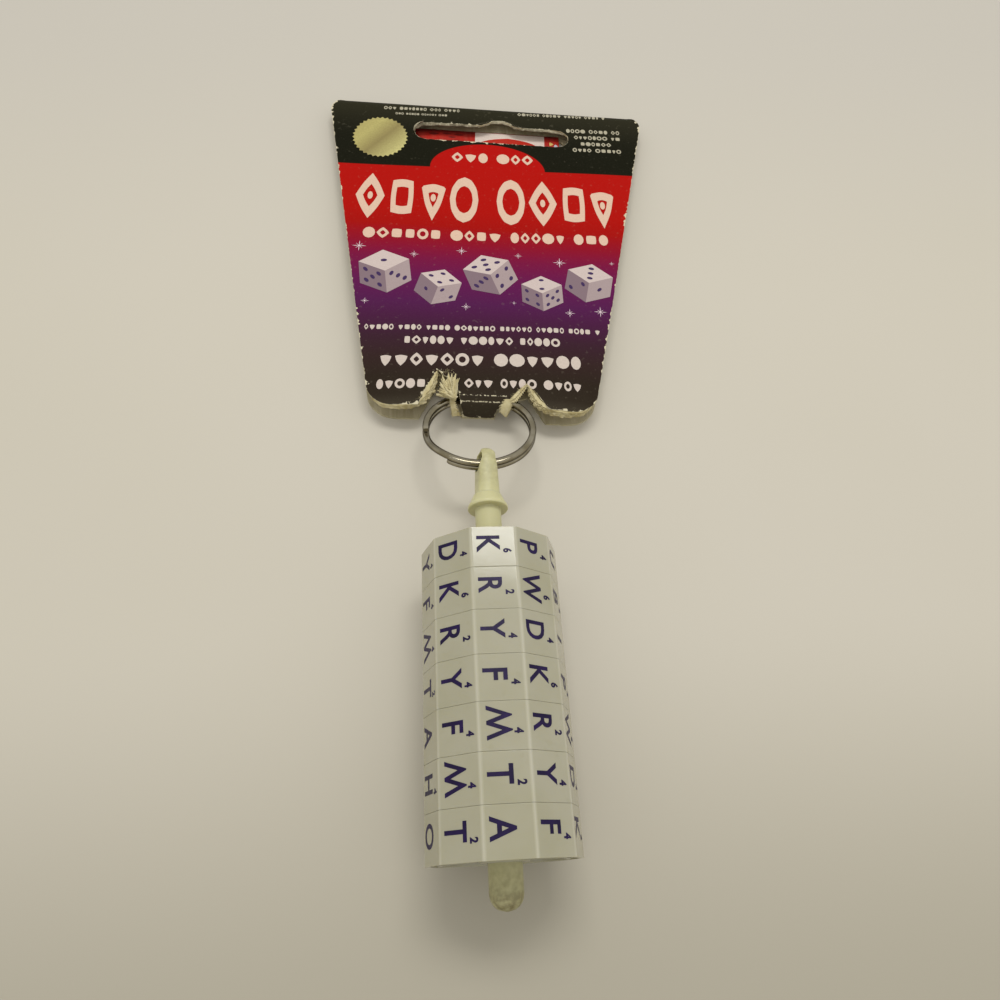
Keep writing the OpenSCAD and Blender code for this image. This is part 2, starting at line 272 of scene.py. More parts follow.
class Group(Net):
    """A node group with float sockets."""

    def __init__(self, name, **inputs):
        super().__init__(bpy.data.node_groups.new(name, "ShaderNodeTree"))
        for label, value in inputs.items():
            self.socket(label.replace("_", " "), "INPUT").default_value = value
        self.given = self.tree.nodes.new("NodeGroupInput").outputs

    def socket(self, label, way):
        new_socket = self.tree.interface.new_socket
        return new_socket(label, in_out=way, socket_type="NodeSocketFloat")

    def give(self, **masks):
        """Puts the masks out under their names and returns the finished tree."""
        for label in masks:
            self.socket(label, "OUTPUT")
        end = self.tree.nodes.new("NodeGroupOutput")
        for label, value in masks.items():
            self.tree.links.new(value, end.inputs[label])
        return self.tree


class Finish(Net):
    """A Principled material. Fixed values sit on the shader's own sockets."""

    def __init__(self, name, **fixed):
        self.material = bpy.data.materials.new(name)
        self.material.use_nodes = True
        super().__init__(self.material.node_tree)
        self.shader = self.tree.nodes["Principled BSDF"]
        for label, value in fixed.items():
            self.shader.inputs[label.replace("_", " ")].default_value = value

    def gloss(self, mask, low, high):
        """Roughness from low to high over the middle of a mask."""
        return self.span(mask, 0.3, 0.7, low, high)

    def done(self, colour, roughness=None, height=None, distance=0.0, strength=1.0):
        """Wires up the colour, the roughness and a bump whose height of 0 to 1 stands for
        distance metres, and returns the material."""
        inputs, link = self.shader.inputs, self.tree.links.new
        link(colour, inputs["Base Color"])
        if roughness:
            link(roughness, inputs["Roughness"])
        if height:
            wires = {"Height": height, "Distance": distance, "Strength": strength}
            link(self.node("Bump", wires)[0], inputs["Normal"])
        return self.material


# %% [markdown]
# ## Shared finish groups
# Handled plastic, metal and print all carry smudges and a fine grain, and all the card's bare
# faces show fibres. Each effect is one node group that puts out masks only, so that every
# material decides for itself what the masks do.


# %% Node groups
def handling_group():
    """Smudge: broad soft patches. Grain: fine noise. Speck: rare small spots."""
    net = Group("handling", Smudge_scale=90, Grain_scale=1400, Speck_scale=500)
    place, (smudge, grain, speck) = net.place(), list(net.given)[:3]
    return net.give(
        Smudge=net.noise(place, smudge, 3.0),
        Grain=net.noise(place, grain, 2.0),
        Speck=net.span(net.noise(place, speck, 1.0), 0.68, 0.74),
    )


def fibre_group():
    """Fibre: short streaks in two directions. Cloud: uneven pulp."""
    net = Group("fibres", Scale=900)
    place = net.place()
    streaks = [
        net.noise(net.stretched(place, (1, 0.16, 1), (0.3, 0.2, turn)), net.given[0], 2.0)
        for turn in (0.5, 2.1)
    ]
    fibre = net.calc("MAXIMUM", *streaks)
    return net.give(Fibre=fibre, Cloud=net.noise(place, 220.0, 4.0))


HANDLING, FIBRES = handling_group(), fibre_group()

# %% [markdown]
# ## Plastics
# The wheels are a milky, slightly green plastic that lets light in a little way, so they get
# subsurface scattering of a few tenths of a millimetre. The spindle is the same kind of
# plastic with more yellow. Moulded faces are glossy with faint smudges.

# %% Plastic materials
CORNER_HIGHLIGHT_SHARE = 0.25
SPECK_SHARE = 0.25
GRAIN_HEIGHT = 0.00001


def plastic(name, colour, stain, roughness, depth=0.0008, corner_highlight_tone=None, shade_and_grime_tone=None):
    """Milky moulded plastic: smudges drive tint and gloss, grain a very low bump. Where the
    mesh stores a corner, a lighter tone is a painted highlight along the rounded corners;
    where it stores shade_and_grime, a darker tone in patches is painted shade with some dirt."""
    net = Finish(
        name,
        Subsurface_Weight=0.35,
        Subsurface_Radius=(1.0, 0.9, 0.55),
        Subsurface_Scale=depth,
        IOR=1.5,
    )
    smudge, grain, speck = net.handled(70, 900)
    tint = net.mix(net.span(smudge, 0.35, 0.75), colour, stain)
    tint = net.mix(net.calc("MULTIPLY", speck, SPECK_SHARE), tint, stain)
    # Painted highlight: a lighter tone along the corners between facets.
    if corner_highlight_tone:
        share = net.calc("MULTIPLY", net.stored("corner"), CORNER_HIGHLIGHT_SHARE)
        tint = net.mix(share, tint, corner_highlight_tone)
    # Painted shade with some dirt: a darker tone where the mesh stores it, broken into patches
    # by the grain.
    if shade_and_grime_tone:
        patchy = net.span(grain, 0.35, 0.65, 0.45, 1.0)
        share = net.calc("MULTIPLY", net.stored("shade_and_grime"), patchy)
        tint = net.mix(share, tint, shade_and_grime_tone)
    gloss = net.gloss(smudge, roughness - 0.06, roughness + 0.08)
    return net.done(tint, gloss, grain, GRAIN_HEIGHT, 0.5)


# The wheels' pale corner tone is a painted highlight along their rounded corners.
WHEEL_PLASTIC = plastic(
    "wheel_plastic",
    tone(173, 169, 148),
    tone(163, 159, 132),
    0.125,
    corner_highlight_tone=tone(236, 233, 218),
)
CAP_PLASTIC = plastic("cap_plastic", tone(180, 176, 150), tone(166, 162, 130), 0.36)
# The spindle's dark tone is painted shade with some dirt, strongest at the tip.
SPINDLE_PLASTIC = plastic(
    "spindle_plastic",
    tone(206, 202, 158),
    tone(194, 190, 140),
    0.42,
    0.0010,
    shade_and_grime_tone=tone(112, 102, 64),
)

# %% [markdown]
# ## Letter ink, magnet and nickel
# The ink is a thin dark layer that has worn unevenly. The magnet hides inside a wheel. The
# ring is bright nickel plate whose fine scratches run along the wire, so its pattern follows
# a map that is laid along the sweep.


# %% Ink, magnet and metal materials
def ink_material():
    net = Finish("letter_ink", IOR=1.45, Specular_IOR_Level=0.25)
    smudge, grain, _ = net.handled(400, 1500)
    worn = net.mix(net.span(smudge, 0.35, 0.7), tone(22, 8, 50), tone(34, 14, 70))
    return net.done(worn, net.gloss(grain, 0.34, 0.5))


def magnet_material():
    net = Finish("magnet", Metallic=0.3)
    smudge, grain, _ = net.handled(300, 2200)
    dark = net.mix(grain, tone(58, 58, 62), tone(84, 84, 88))
    return net.done(dark, net.gloss(smudge, 0.45, 0.65), grain, 2 * GRAIN_HEIGHT)


def nickel_material():
    """Scratches are noise stretched along U, the distance along the wire in the map. The
    metal's
    colour darkens where it turns away: a painted reflection of a dim room round it."""
    net = Finish("nickel", Metallic=1.0)
    scratch = net.noise(net.stretched(net.sheet("wire"), (3.0, 60.0, 1.0)), 6.0, 5.0)
    smudge = net.handled(260)["Smudge"]
    plate = net.mix(net.span(smudge, 0.35, 0.7), tone(168, 161, 142), tone(130, 121, 96))
    # Painted reflection: a darker colour towards grazing angles.
    facing = net.node("LayerWeight", {"Blend": 0.5})["Facing"]
    shaded = net.mix(net.span(facing, 0.25, 0.7, smooth=True), plate, tone(58, 51, 34))
    gloss = net.span(scratch, 0.3, 0.75, 0.1, 0.2)
    return net.done(shaded, gloss, scratch, GRAIN_HEIGHT, 0.3)


LETTER_INK, MAGNET, NICKEL = ink_material(), magnet_material(), nickel_material()

# %% [markdown]
# ## Card and paper
# The tag is grey board with a glossy print on one face. The print's broad colours are bands
# across its height, so one colour ramp along the map's V does them, and a tilted line and an
# ellipse part the dark head from the red field. Near a cut edge the print is rubbed through
# to pale paper: the mesh stores how far each point is from the edge. The back leaf carries
# the same bands, because V there runs on past the fold and is counted back from the end.

# %% Print material
MAP_UNIT = 100.0
HEAD_LINE_V = 81.8
HEAD_LINE_SLOPE = 0.022
DOME_CENTRE = (0.35, 81.8)
DOME_REACH = (16.2, 10.6)
CREASE_LINES = ((2.9, 5.8, 0.56), (1.3, 5.4, 0.5))
TAG_HEIGHT = 110.0
FOLD_RADIUS = 1.875
FOLD_START = TAG_HEIGHT - FOLD_RADIUS
FOLD_LENGTH = math.pi * FOLD_RADIUS
SHEET_END = 2 * FOLD_START + FOLD_LENGTH
PRINT_BANDS = (
    (0, (66, 60, 50)), (3, (52, 45, 37)), (8, (50, 42, 35)), (14, (56, 41, 40)),
    (20, (62, 38, 50)), (26, (75, 35, 66)), (31, (84, 35, 78)), (38, (98, 32, 80)),
    (46, (120, 29, 66)), (52, (142, 26, 44)), (58, (162, 25, 22)), (64, (172, 25, 13)),
    (84, (176, 25, 13)),
)
# The head's sheen tone is a painted sheen towards the fold.
HEAD_TONE, HEAD_PAINTED_SHEEN_TONE, DOME_TONE = (30, 30, 22), (48, 46, 34), (176, 24, 13)
RUBBED_TONE = tone(206, 197, 168)
PRINT_HAZE, DARKEST_INK = 0.006, 0.0012
PRINT_DUST, PRINT_SPECKS = 0.012, 0.04
HEAD_SOFTNESS, DOME_SOFTNESS = 0.12, 0.01
CREASE_WAVE, CREASE_WIDTH = 0.5, (0.2, 0.07)


def ink_tone(red, green, blue):
    """A printed colour as seen, less the faint haze that the gloss adds over dark ink."""
    seen = np.array(tone(red, green, blue)[:3])
    return (*np.maximum(seen - PRINT_HAZE, DARKEST_INK).tolist(), 1.0)


def print_bands(net, u, v):
    """The bands, and above the tilted line the dark head with its red dome: the dome is
    where ((u - cu) / ru)^2 + ((v - cv) / rv)^2 < 1. The head turns lighter towards the fold
    in a painted sheen."""
    stops = [(height / TAG_HEIGHT, ink_tone(*colour)) for height, colour in PRINT_BANDS]
    bands = net.ramp(net.calc("DIVIDE", v, TAG_HEIGHT), *stops)
    head_line = net.calc("MULTIPLY_ADD", u, HEAD_LINE_SLOPE, HEAD_LINE_V)
    above = net.calc("SUBTRACT", v, head_line)
    head = net.span(above, -HEAD_SOFTNESS, HEAD_SOFTNESS)
    reach = [
        net.calc("POWER", net.calc("DIVIDE", net.calc("SUBTRACT", way, middle), size), 2.0)
        for way, middle, size in zip((u, v), DOME_CENTRE, DOME_REACH)
    ]
    dome = net.span(net.calc("ADD", *reach), 1 + DOME_SOFTNESS, 1 - DOME_SOFTNESS)
    # Painted sheen: the dark head turns lighter towards the fold.
    sheen = net.span(v, 92.0, 112.0, smooth=True)
    dark = net.mix(sheen, ink_tone(*HEAD_TONE), ink_tone(*HEAD_PAINTED_SHEEN_TONE))
    return net.mix(head, bands, net.mix(dome, dark, ink_tone(*DOME_TONE)))


def print_material():
    """Bands of ink with a little dust, bare where an edge or a crease has rubbed."""
    net = Finish("card_print", IOR=1.48, Specular_IOR_Level=0.03)
    sheet = net.sheet("sheet")
    across, up = list(net.node("SeparateXYZ", {0: sheet}))[:2]
    u = net.calc("MULTIPLY", across, MAP_UNIT)
    up_front = net.calc("MULTIPLY", up, MAP_UNIT)
    v = net.calc("MINIMUM", up_front, net.calc("SUBTRACT", SHEET_END, up_front))
    smudge, grain, speck = net.handled(45, 2600, 900)
    dust = net.span(grain, 0.5, 0.8, 0.0, PRINT_DUST)
    dusty = net.mix(dust, print_bands(net, u, v), RUBBED_TONE)

    ragged = net.span(net.noise(net.place(), 700.0, 4.0), 0.48, 0.72, 0.0, 0.7)
    worn_here = net.span(net.noise(sheet, 7.0, 2.0), 0.42, 0.62, 0.15, 1.5)
    reach_in = net.calc("MULTIPLY", ragged, worn_here)
    left = net.calc("SUBTRACT", net.stored("edge_distance"), reach_in)
    specks = net.calc("MULTIPLY", speck, PRINT_SPECKS)
    bare = net.calc("MAXIMUM", net.span(left, 0.04, -0.04), specks, clamp=True)
    fine = net.noise(sheet, 190.0, 3.0)
    for line, half_length, rarity in CREASE_LINES:
        sideways = net.calc("SUBTRACT", fine, 0.5)
        wavy = net.calc("MULTIPLY_ADD", sideways, CREASE_WAVE, line)
        off = net.calc("ABSOLUTE", net.calc("SUBTRACT", v, wavy))
        near_middle = net.calc("LESS_THAN", net.calc("ABSOLUTE", u), half_length)
        close = net.calc("MULTIPLY", net.span(off, *CREASE_WIDTH), near_middle)
        flecks = net.span(fine, rarity - 0.06, rarity)
        bare = net.calc("MAXIMUM", bare, net.calc("MULTIPLY", close, flecks))
    gloss = net.gloss(smudge, 0.36, 0.5)
    dull = net.calc("MAXIMUM", gloss, net.calc("MULTIPLY", bare, 0.8))
    worn = net.mix(bare, dusty, RUBBED_TONE)
    return net.done(worn, dull, grain, 2 * GRAIN_HEIGHT, 0.5)


# %% Board, torn paper, slip and flat ink
def pulp_material(name, colour, shade, fibre_height, fibre_scale=900, streaks=0.45):
    """Bare paper: streaks lighten it, clouds darken it, and streaks raise its surface."""
    net = Finish(name, IOR=1.4, Roughness=0.85)
    fibre, cloud = net.group(FIBRES, fibre_scale)
    cloudy = net.mix(net.span(cloud, 0.3, 0.7), shade, colour)
    pale_streak = net.span(fibre, 0.5, 0.8, 0.0, streaks)
    streaky = net.mix(pale_streak, cloudy, tone(226, 219, 190))
    return net.done(streaky, None, fibre, fibre_height)


def flat_ink_material(name, attribute):
    """Print whose colour is stored on each face."""
    net = Finish(name, IOR=1.48, Specular_IOR_Level=0.12)
    smudge, grain, _ = net.handled(260, 2600)
    mottle = net.span(grain, 0.3, 0.75, 0.0, 0.16)
    mottled = net.mix(mottle, net.stored(attribute, "Color"), tone(120, 96, 92))
    return net.done(mottled, net.gloss(smudge, 0.38, 0.5))


CARD_PRINT = print_material()
PRINT_INK = flat_ink_material("print_ink", "ink")
CARD_BOARD, CARD_EDGE, TORN_PAPER, SLOT_FRAY, SLIP_PAPER = (
    pulp_material(name, tone(*colour), tone(*shade), *rest)
    for name, colour, shade, *rest in (
        ("card_board", (190, 180, 148), (166, 155, 122), 2e-5),
        ("card_edge", (196, 187, 150), (160, 150, 112), 4e-5),
        ("torn_paper", (212, 200, 156), (158, 142, 92), 6e-5, 1300),
        ("slot_fray", (176, 166, 140), (96, 88, 68), 5e-5, 1200),
        ("slip_paper", (190, 34, 18), (160, 24, 12), 1e-5, 600, 0.05),
    )
)

# %% [markdown]
# ## The wheels
# A wheel is turned and ten-sided at once. One closed profile goes round the section: outer
# face, bevels, the dished faces, the magnet's pocket and the hole. Each profile point is
# carried round the axis, with a ten-sided radius outside and a round one inside. The corners
# between facets have a radius of their own, because they catch the light.

# %% Wheel sizes
WHEEL_COUNT = 7
FACETS = 10
HALF_FACET = math.pi / FACETS
APOTHEM = AXIS_HEIGHT = 12.7
DRUM_WIDTH, WHEEL_WIDTH = 7.85, 7.935
CORNER_RADIUS, CORNER_STRIP = 1.5, 0.036
FLAT_STEPS, CORNER_STEPS = 8, 7
EDGE_BEVEL, BEVEL_STEPS = 0.1, 3
BORE_RADIUS, BORE_BEVEL = 3.15, 0.15
HUB_RADIUS, DRAFT = 4.6, 0.35
RECESS_RADIUS, RECESS_DEPTH = 10.4, 1.0
SEAT_RADIUS, CAP_THICKNESS = RECESS_RADIUS - DRAFT, 1.1
POCKET_RADIUS, POCKET_FLOOR = SEAT_RADIUS - 0.7, 2.55
BUMP_CIRCLE, BUMP_BALL, BUMP_SINK = 11.65, 0.55, 0.2
GROOVE_HALF_WIDTH, GROOVE_DEPTH = 0.651, 0.49


def ten_sided(angle, apothem, corner):
    """Radius of a regular polygon with rounded corners at an angle from a facet's middle.
    On a flat it is apothem / cos(a). On a corner arc it is the far crossing of a ray with
    a circle of that corner's radius, whose centre lies (apothem - corner) / cos(half) out."""
    turn = np.abs((angle + HALF_FACET) % (2 * HALF_FACET) - HALF_FACET)
    flat = apothem / np.cos(turn)
    centre = (apothem - corner) / math.cos(HALF_FACET)
    off = HALF_FACET - turn
    root = np.sqrt(np.maximum(corner**2 - (centre * np.sin(off)) ** 2, 0))
    on_flat = apothem * np.tan(turn) <= (apothem - corner) * math.tan(HALF_FACET)
    return np.where(on_flat, flat, centre * np.cos(off) + root)


def wheel_profile():
    """Closed section: (radius, distance from the tip side, 1 if ten-sided). The bevel is
    a quarter round, (1 - sin a, 1 - cos a) times its size in from the two faces."""
    turn = np.linspace(0, math.pi / 2, BEVEL_STEPS + 1)
    inward, along = EDGE_BEVEL * (1 - np.sin(turn)), EDGE_BEVEL * (1 - np.cos(turn))
    low = [(APOTHEM - i, a, 1) for i, a in zip(inward, along)]
    high = [(APOTHEM - i, WHEEL_WIDTH - a, 1) for i, a in zip(inward, along)]
    seat = WHEEL_WIDTH - RECESS_DEPTH
    groove = (BUMP_CIRCLE - GROOVE_HALF_WIDTH, BUMP_CIRCLE + GROOVE_HALF_WIDTH)
    inside = [
        (RECESS_RADIUS, WHEEL_WIDTH), (SEAT_RADIUS, seat),
        (SEAT_RADIUS, seat - CAP_THICKNESS), (POCKET_RADIUS, seat - CAP_THICKNESS),
        (POCKET_RADIUS, POCKET_FLOOR), (HUB_RADIUS, POCKET_FLOOR),
        (HUB_RADIUS, seat), (HUB_RADIUS - DRAFT, WHEEL_WIDTH),
        (BORE_RADIUS + BORE_BEVEL, WHEEL_WIDTH), (BORE_RADIUS, WHEEL_WIDTH - BORE_BEVEL),
        (BORE_RADIUS, BORE_BEVEL), (BORE_RADIUS + BORE_BEVEL, 0),
        (HUB_RADIUS - DRAFT, 0), (HUB_RADIUS, RECESS_DEPTH),
        (SEAT_RADIUS, RECESS_DEPTH), (RECESS_RADIUS, 0),
        (groove[0], 0), (groove[0], GROOVE_DEPTH),
        (groove[1], GROOVE_DEPTH), (groove[1], 0),
    ]
    return np.array(low + high[::-1] + [(*point, 0) for point in inside])


def facet_angles():
    """Angles round a wheel: close together at the corners, wider on the flats."""
    edge = math.atan((APOTHEM - CORNER_RADIUS) * math.tan(HALF_FACET) / APOTHEM)
    corner = np.linspace(edge, 2 * HALF_FACET - edge, CORNER_STEPS)[1:-1]
    one = np.concatenate([np.linspace(-edge, edge, FLAT_STEPS), corner])
    return (np.arange(FACETS)[:, None] * 2 * HALF_FACET + one).ravel()


WHEEL_ANGLES = facet_angles()[:, None]
SECTION_RADIUS, SECTION_ALONG, SECTION_TEN_SIDED = wheel_profile().T


def wheel_surface(middle_y):
    """Point(angle, section) = (r sin a, y, axis height + r cos a)."""
    outer = ten_sided(WHEEL_ANGLES, SECTION_RADIUS, CORNER_RADIUS)
    radius = np.where(SECTION_TEN_SIDED > 0, outer, SECTION_RADIUS)
    points = stacked(
        radius * np.sin(WHEEL_ANGLES),
        middle_y - WHEEL_WIDTH / 2 + SECTION_ALONG,
        AXIS_HEIGHT + radius * np.cos(WHEEL_ANGLES),
    )
    faces = grid_faces(len(WHEEL_ANGLES), len(SECTION_RADIUS), True, True)
    return points.reshape(-1, 3), faces[:, ::-1]


def corner_highlight_strip():
    """1 along each corner between facets and 0 a little way off, for every section point:
    where the plastic paints its highlight.
    """
    turn = np.abs((WHEEL_ANGLES + HALF_FACET) % (2 * HALF_FACET) - HALF_FACET)
    strength = np.clip(1 - (HALF_FACET - turn) / CORNER_STRIP, 0, 1)
    return (strength * (SECTION_TEN_SIDED > 0)).ravel()


def bump_ball(angle, middle_y, rings=5, sides=10):
    """Small ball sunk into the rim: the usual sphere formula, with one point at each pole."""
    tilt = np.linspace(0, math.pi, rings + 2)[1:-1, None]
    turn = circle(sides)
    ring = stacked(np.sin(tilt) * np.cos(turn), np.cos(tilt), np.sin(tilt) * np.sin(turn))
    ball = np.concatenate([ring.reshape(-1, 3), [[0, 1, 0], [0, -1, 0]]]) * BUMP_BALL
    centre = [
        BUMP_CIRCLE * math.sin(angle),
        middle_y + WHEEL_WIDTH / 2 - BUMP_SINK,
        AXIS_HEIGHT + BUMP_CIRCLE * math.cos(angle),
    ]
    side = np.arange(sides)
    following, low = (side + 1) % sides, (rings - 1) * sides
    top = stacked(side, rings * sides, following)
    foot = stacked(low + side, low + following, rings * sides + 1)
    walls = grid_faces(rings, sides, False, True)
    return ball + centre, [*walls.tolist(), *top.tolist(), *foot.tolist()]


# %% Build the wheels
def wheel_middle(number):
    """The drum's middle: its box also holds the bumps, so it is counted from the tip side."""
    drum_low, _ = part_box(f"wheel_{number}_drum")
    return drum_low.y / MM + DRUM_WIDTH / 2


for number in range(1, WHEEL_COUNT + 1):
    middle = wheel_middle(number)
    bump_turns = (np.arange(FACETS) + 0.5) * 2 * math.pi / FACETS
    parts = [wheel_surface(middle)] + [bump_ball(turn, middle) for turn in bump_turns]
    wheel = make_piece(f"wheel_{number}_body", *joined(parts), WHEEL_PLASTIC, sharp=38)
    strip = np.zeros(len(wheel.data.vertices))
    strip[: len(parts[0][0])] = corner_highlight_strip()
    # The corner attribute says where the plastic paints its highlight.
    store(wheel, "corner", strip)
    steady = wheel.modifiers.new("steady normals", "WEIGHTED_NORMAL")
    steady.keep_sharp, steady.weight = True, 80
    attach(wheel, f"wheel_{number}")
    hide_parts(f"wheel_{number}_drum")
print("wheels", WHEEL_COUNT, "first middle at y", round(wheel_middle(1), 2))

# %% [markdown]
# ## The letters
# Each facet carries one plain capital and, for the rarer ones, a small number, as a dial
# carries its figures. A text object gives each glyph's outline once. Its points are then
# carried onto every facet by that facet's own directions: reading runs towards the tip, and
# the letter's top points round the wheel. Letters step through the alphabet by a rule. The
# outlines are thickened to a bold weight. That folds an M's inner corner, so M is a W turned.

# %% Glyphs
ALPHABET = "ABCDEFGHIJKLMNOPQRSTUVWXYZ"
FIGURE_OF = {
    letter: figure
    for letters, figure in (("LNRST", "2"), ("BCDFGHMPY", "4"), ("VWK", "6"), ("JQXZ", "8"))
    for letter in letters
}
WHEEL_STEP, FACET_STEP, FIRST_LETTER = 7, 5, 3
CAP_HEIGHT, FIGURE_HEIGHT = 4.55, 1.65
LETTER_WEIGHT, FIGURE_WEIGHT = 0.02, 0.045
LETTER_NARROWING = 0.86
INK_THICKNESS = 0.03
LETTER_PLACE, FIGURE_PLACE = (-0.85, -0.45), (2.5, 0.9)
CAPITAL_SHARE = 0.729
LONGEST_TAIL = 0.25


def glyph(character, height, weight):
    """Flat solid outline of one character, centred, as points in mm and faces. A Q is
    raised, so that its tail stays on the facet."""
    text = bpy.data.curves.new("glyph", "FONT")
    text.body, text.offset, text.resolution_u, text.extrude = character, weight, 4, 0.5
    holder = add_to_scene("glyph", text)
    graph = bpy.context.evaluated_depsgraph_get()
    mesh = bpy.data.meshes.new_from_object(holder.evaluated_get(graph))
    points = np.empty(len(mesh.vertices) * 3)
    mesh.vertices.foreach_get("co", points)
    points = points.reshape(-1, 3)
    faces = [list(face.vertices) for face in mesh.polygons]
    bpy.data.objects.remove(holder)
    bpy.data.meshes.remove(mesh)
    middle = (points[:, 0].min() + points[:, 0].max()) / 2
    scale = height / (CAPITAL_SHARE + 2 * weight)
    points[:, 0] = (points[:, 0] - middle) * scale * LETTER_NARROWING
    points[:, 1] = (points[:, 1] - CAPITAL_SHARE / 2) * scale
    points[:, 1] += max(0, -height / 2 - LONGEST_TAIL - points[:, 1].min())
    points[:, 2] = points[:, 2] * INK_THICKNESS
    return points, faces


LETTER_SHAPES = {c: glyph(c, CAP_HEIGHT, LETTER_WEIGHT) for c in ALPHABET}
upturned_points, upturned_faces = LETTER_SHAPES["W"]
LETTER_SHAPES["M"] = upturned_points * [-1, -1, 1], upturned_faces
FIGURE_SHAPES = {c: glyph(c, FIGURE_HEIGHT, FIGURE_WEIGHT) for c in "2468"}


def on_facet(shape, facet, middle_y, across, along):
    """Carries flat glyph points to a facet: reading along -Y, letter tops towards +angle."""
    points, faces = shape
    turn = 2 * math.pi * facet / FACETS
    outward = np.array([math.sin(turn), 0, math.cos(turn)])
    upward = np.array([math.cos(turn), 0, -math.sin(turn)])
    reading = np.array([0, -1.0, 0])
    centre = np.array([0, middle_y, AXIS_HEIGHT]) + outward * APOTHEM
    placed = centre + (points[:, :1] + along) * reading
    return placed + (points[:, 1:2] + across) * upward + points[:, 2:] * outward, faces


# %% Print the letters on the wheels
for number in range(1, WHEEL_COUNT + 1):
    middle = wheel_middle(number)
    marks = []
    for facet in range(FACETS):
        step = FIRST_LETTER + WHEEL_STEP * number + FACET_STEP * facet
        letter = ALPHABET[step % len(ALPHABET)]
        marks.append(on_facet(LETTER_SHAPES[letter], facet, middle, *LETTER_PLACE))
        if letter in FIGURE_OF:
            shape = FIGURE_SHAPES[FIGURE_OF[letter]]
            marks.append(on_facet(shape, facet, middle, *FIGURE_PLACE))
    letters = make_piece(f"wheel_{number}_letters", *joined(marks), LETTER_INK, sharp=30)
    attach(letters, f"wheel_{number}")

# %% [markdown]
# ## Filling an outline
# Some shapes are an outline with holes rather than a grid. A net of points is laid inside
# the outline and joined into triangles. The same net, copied to a second side, makes a shell.

# %% Outline helpers
ROW_HEIGHT = 0.87
NEARLY_EQUAL = 1e-5


def circle_arc(cx, cy, radius, start, end, steps):
    """Points of an arc about (cx, cy), in degrees."""
    turn = np.radians(np.linspace(start, end, steps))
    return stacked(cx + radius * np.cos(turn), cy + radius * np.sin(turn))


def crossings(points, loops):
    """Even-odd test: how many outline edges lie to the right of each point, modulo 2."""
    inside = np.zeros(len(points), bool)
    for loop in loops:
        a, b = loop, np.roll(loop, -1, axis=0)
        y = points[:, 1, None]
        straddles = (a[:, 1] > y) != (b[:, 1] > y)
        rise = np.where(b[:, 1] == a[:, 1], 1e-9, b[:, 1] - a[:, 1])
        x_at = a[:, 0] + (y - a[:, 1]) * (b[:, 0] - a[:, 0]) / rise
        inside ^= (np.sum(straddles & (points[:, 0, None] < x_at), 1) % 2).astype(bool)
    return inside


def edge_distances(points, loops):
    """Shortest distance from each point to any outline edge."""
    best = np.full(len(points), np.inf)
    for loop in loops:
        a, d = loop, np.roll(loop, -1, axis=0) - loop
        size = np.maximum((d**2).sum(1), 1e-12)
        for chunk in np.array_split(np.arange(len(points)), 8):
            rel = points[chunk, None, :] - a[None]
            t = np.clip((rel * d).sum(-1) / size, 0, 1)
            gap = np.hypot(*np.moveaxis(rel - t[..., None] * d, -1, 0)).min(1)
            best[chunk] = np.minimum(best[chunk], gap)
    return best


def filled(loops, spacing, clearance):
    """Triangles that fill the loops, with an inner net of points at the given spacing."""
    corners = np.concatenate(loops)
    low, high = corners.min(0), corners.max(0)
    u = np.arange(low[0], high[0], spacing)
    s = np.arange(low[1], high[1], spacing * ROW_HEIGHT)[:, None]
    shift = (np.arange(len(s)) % 2)[:, None] * spacing / 2
    net = stacked(u + shift, s).reshape(-1, 2)
    net = net[crossings(net, loops)]
    net = net[edge_distances(net, loops) > clearance]
    edges, start = [], 0
    for loop in loops:
        n = len(loop)
        edges += [(start + i, start + (i + 1) % n) for i in range(n)]
        start += n
    given = [Vector(p) for p in np.concatenate([corners, net]).tolist()]
    found = delaunay_2d_cdt(given, edges, [], 0, NEARLY_EQUAL)
    points = np.array([tuple(p) for p in found[0]])
    triangles = np.array([tuple(f) for f in found[2]])
    triangles = triangles[crossings(points[triangles].mean(1), loops)]
    ab = points[triangles[:, 1]] - points[triangles[:, 0]]
    ac = points[triangles[:, 2]] - points[triangles[:, 0]]
    clockwise = ab[:, 0] * ac[:, 1] - ab[:, 1] * ac[:, 0] < 0
    triangles[clockwise] = triangles[clockwise][:, ::-1]
    return points, triangles


def rim_walls(triangles, count):
    """Quads that join the open edges of a sheet to the same edges of its other side, whose
    points follow the first ones. An edge is open if no triangle has it the other way."""
    directed = triangles[:, [0, 1, 1, 2, 2, 0]].reshape(-1, 2)
    codes = directed[:, 0] * count + directed[:, 1]
    a, b = directed[~np.isin(codes, directed[:, 1] * count + directed[:, 0])].T
    return stacked(b, a, a + count, b + count)


def shell_faces(triangles, count):
    """Front, back and rim of a sheet with two sides."""
    back = triangles[:, ::-1] + count
    return [*triangles.tolist(), *back.tolist(), *rim_walls(triangles, count).tolist()]


# %% [markdown]
# ## The spindle
# The shaft, its rounded tip and the flange are turned on a lathe, so a profile goes round the
# axis. The eye post is a round bar with two flats and a hole: it is filled as an outline in
# the plane of its flats, and each side stands off by the smaller of the bar's and the flat's
# half thickness. The post is turned a little on its axis, as in the photograph.

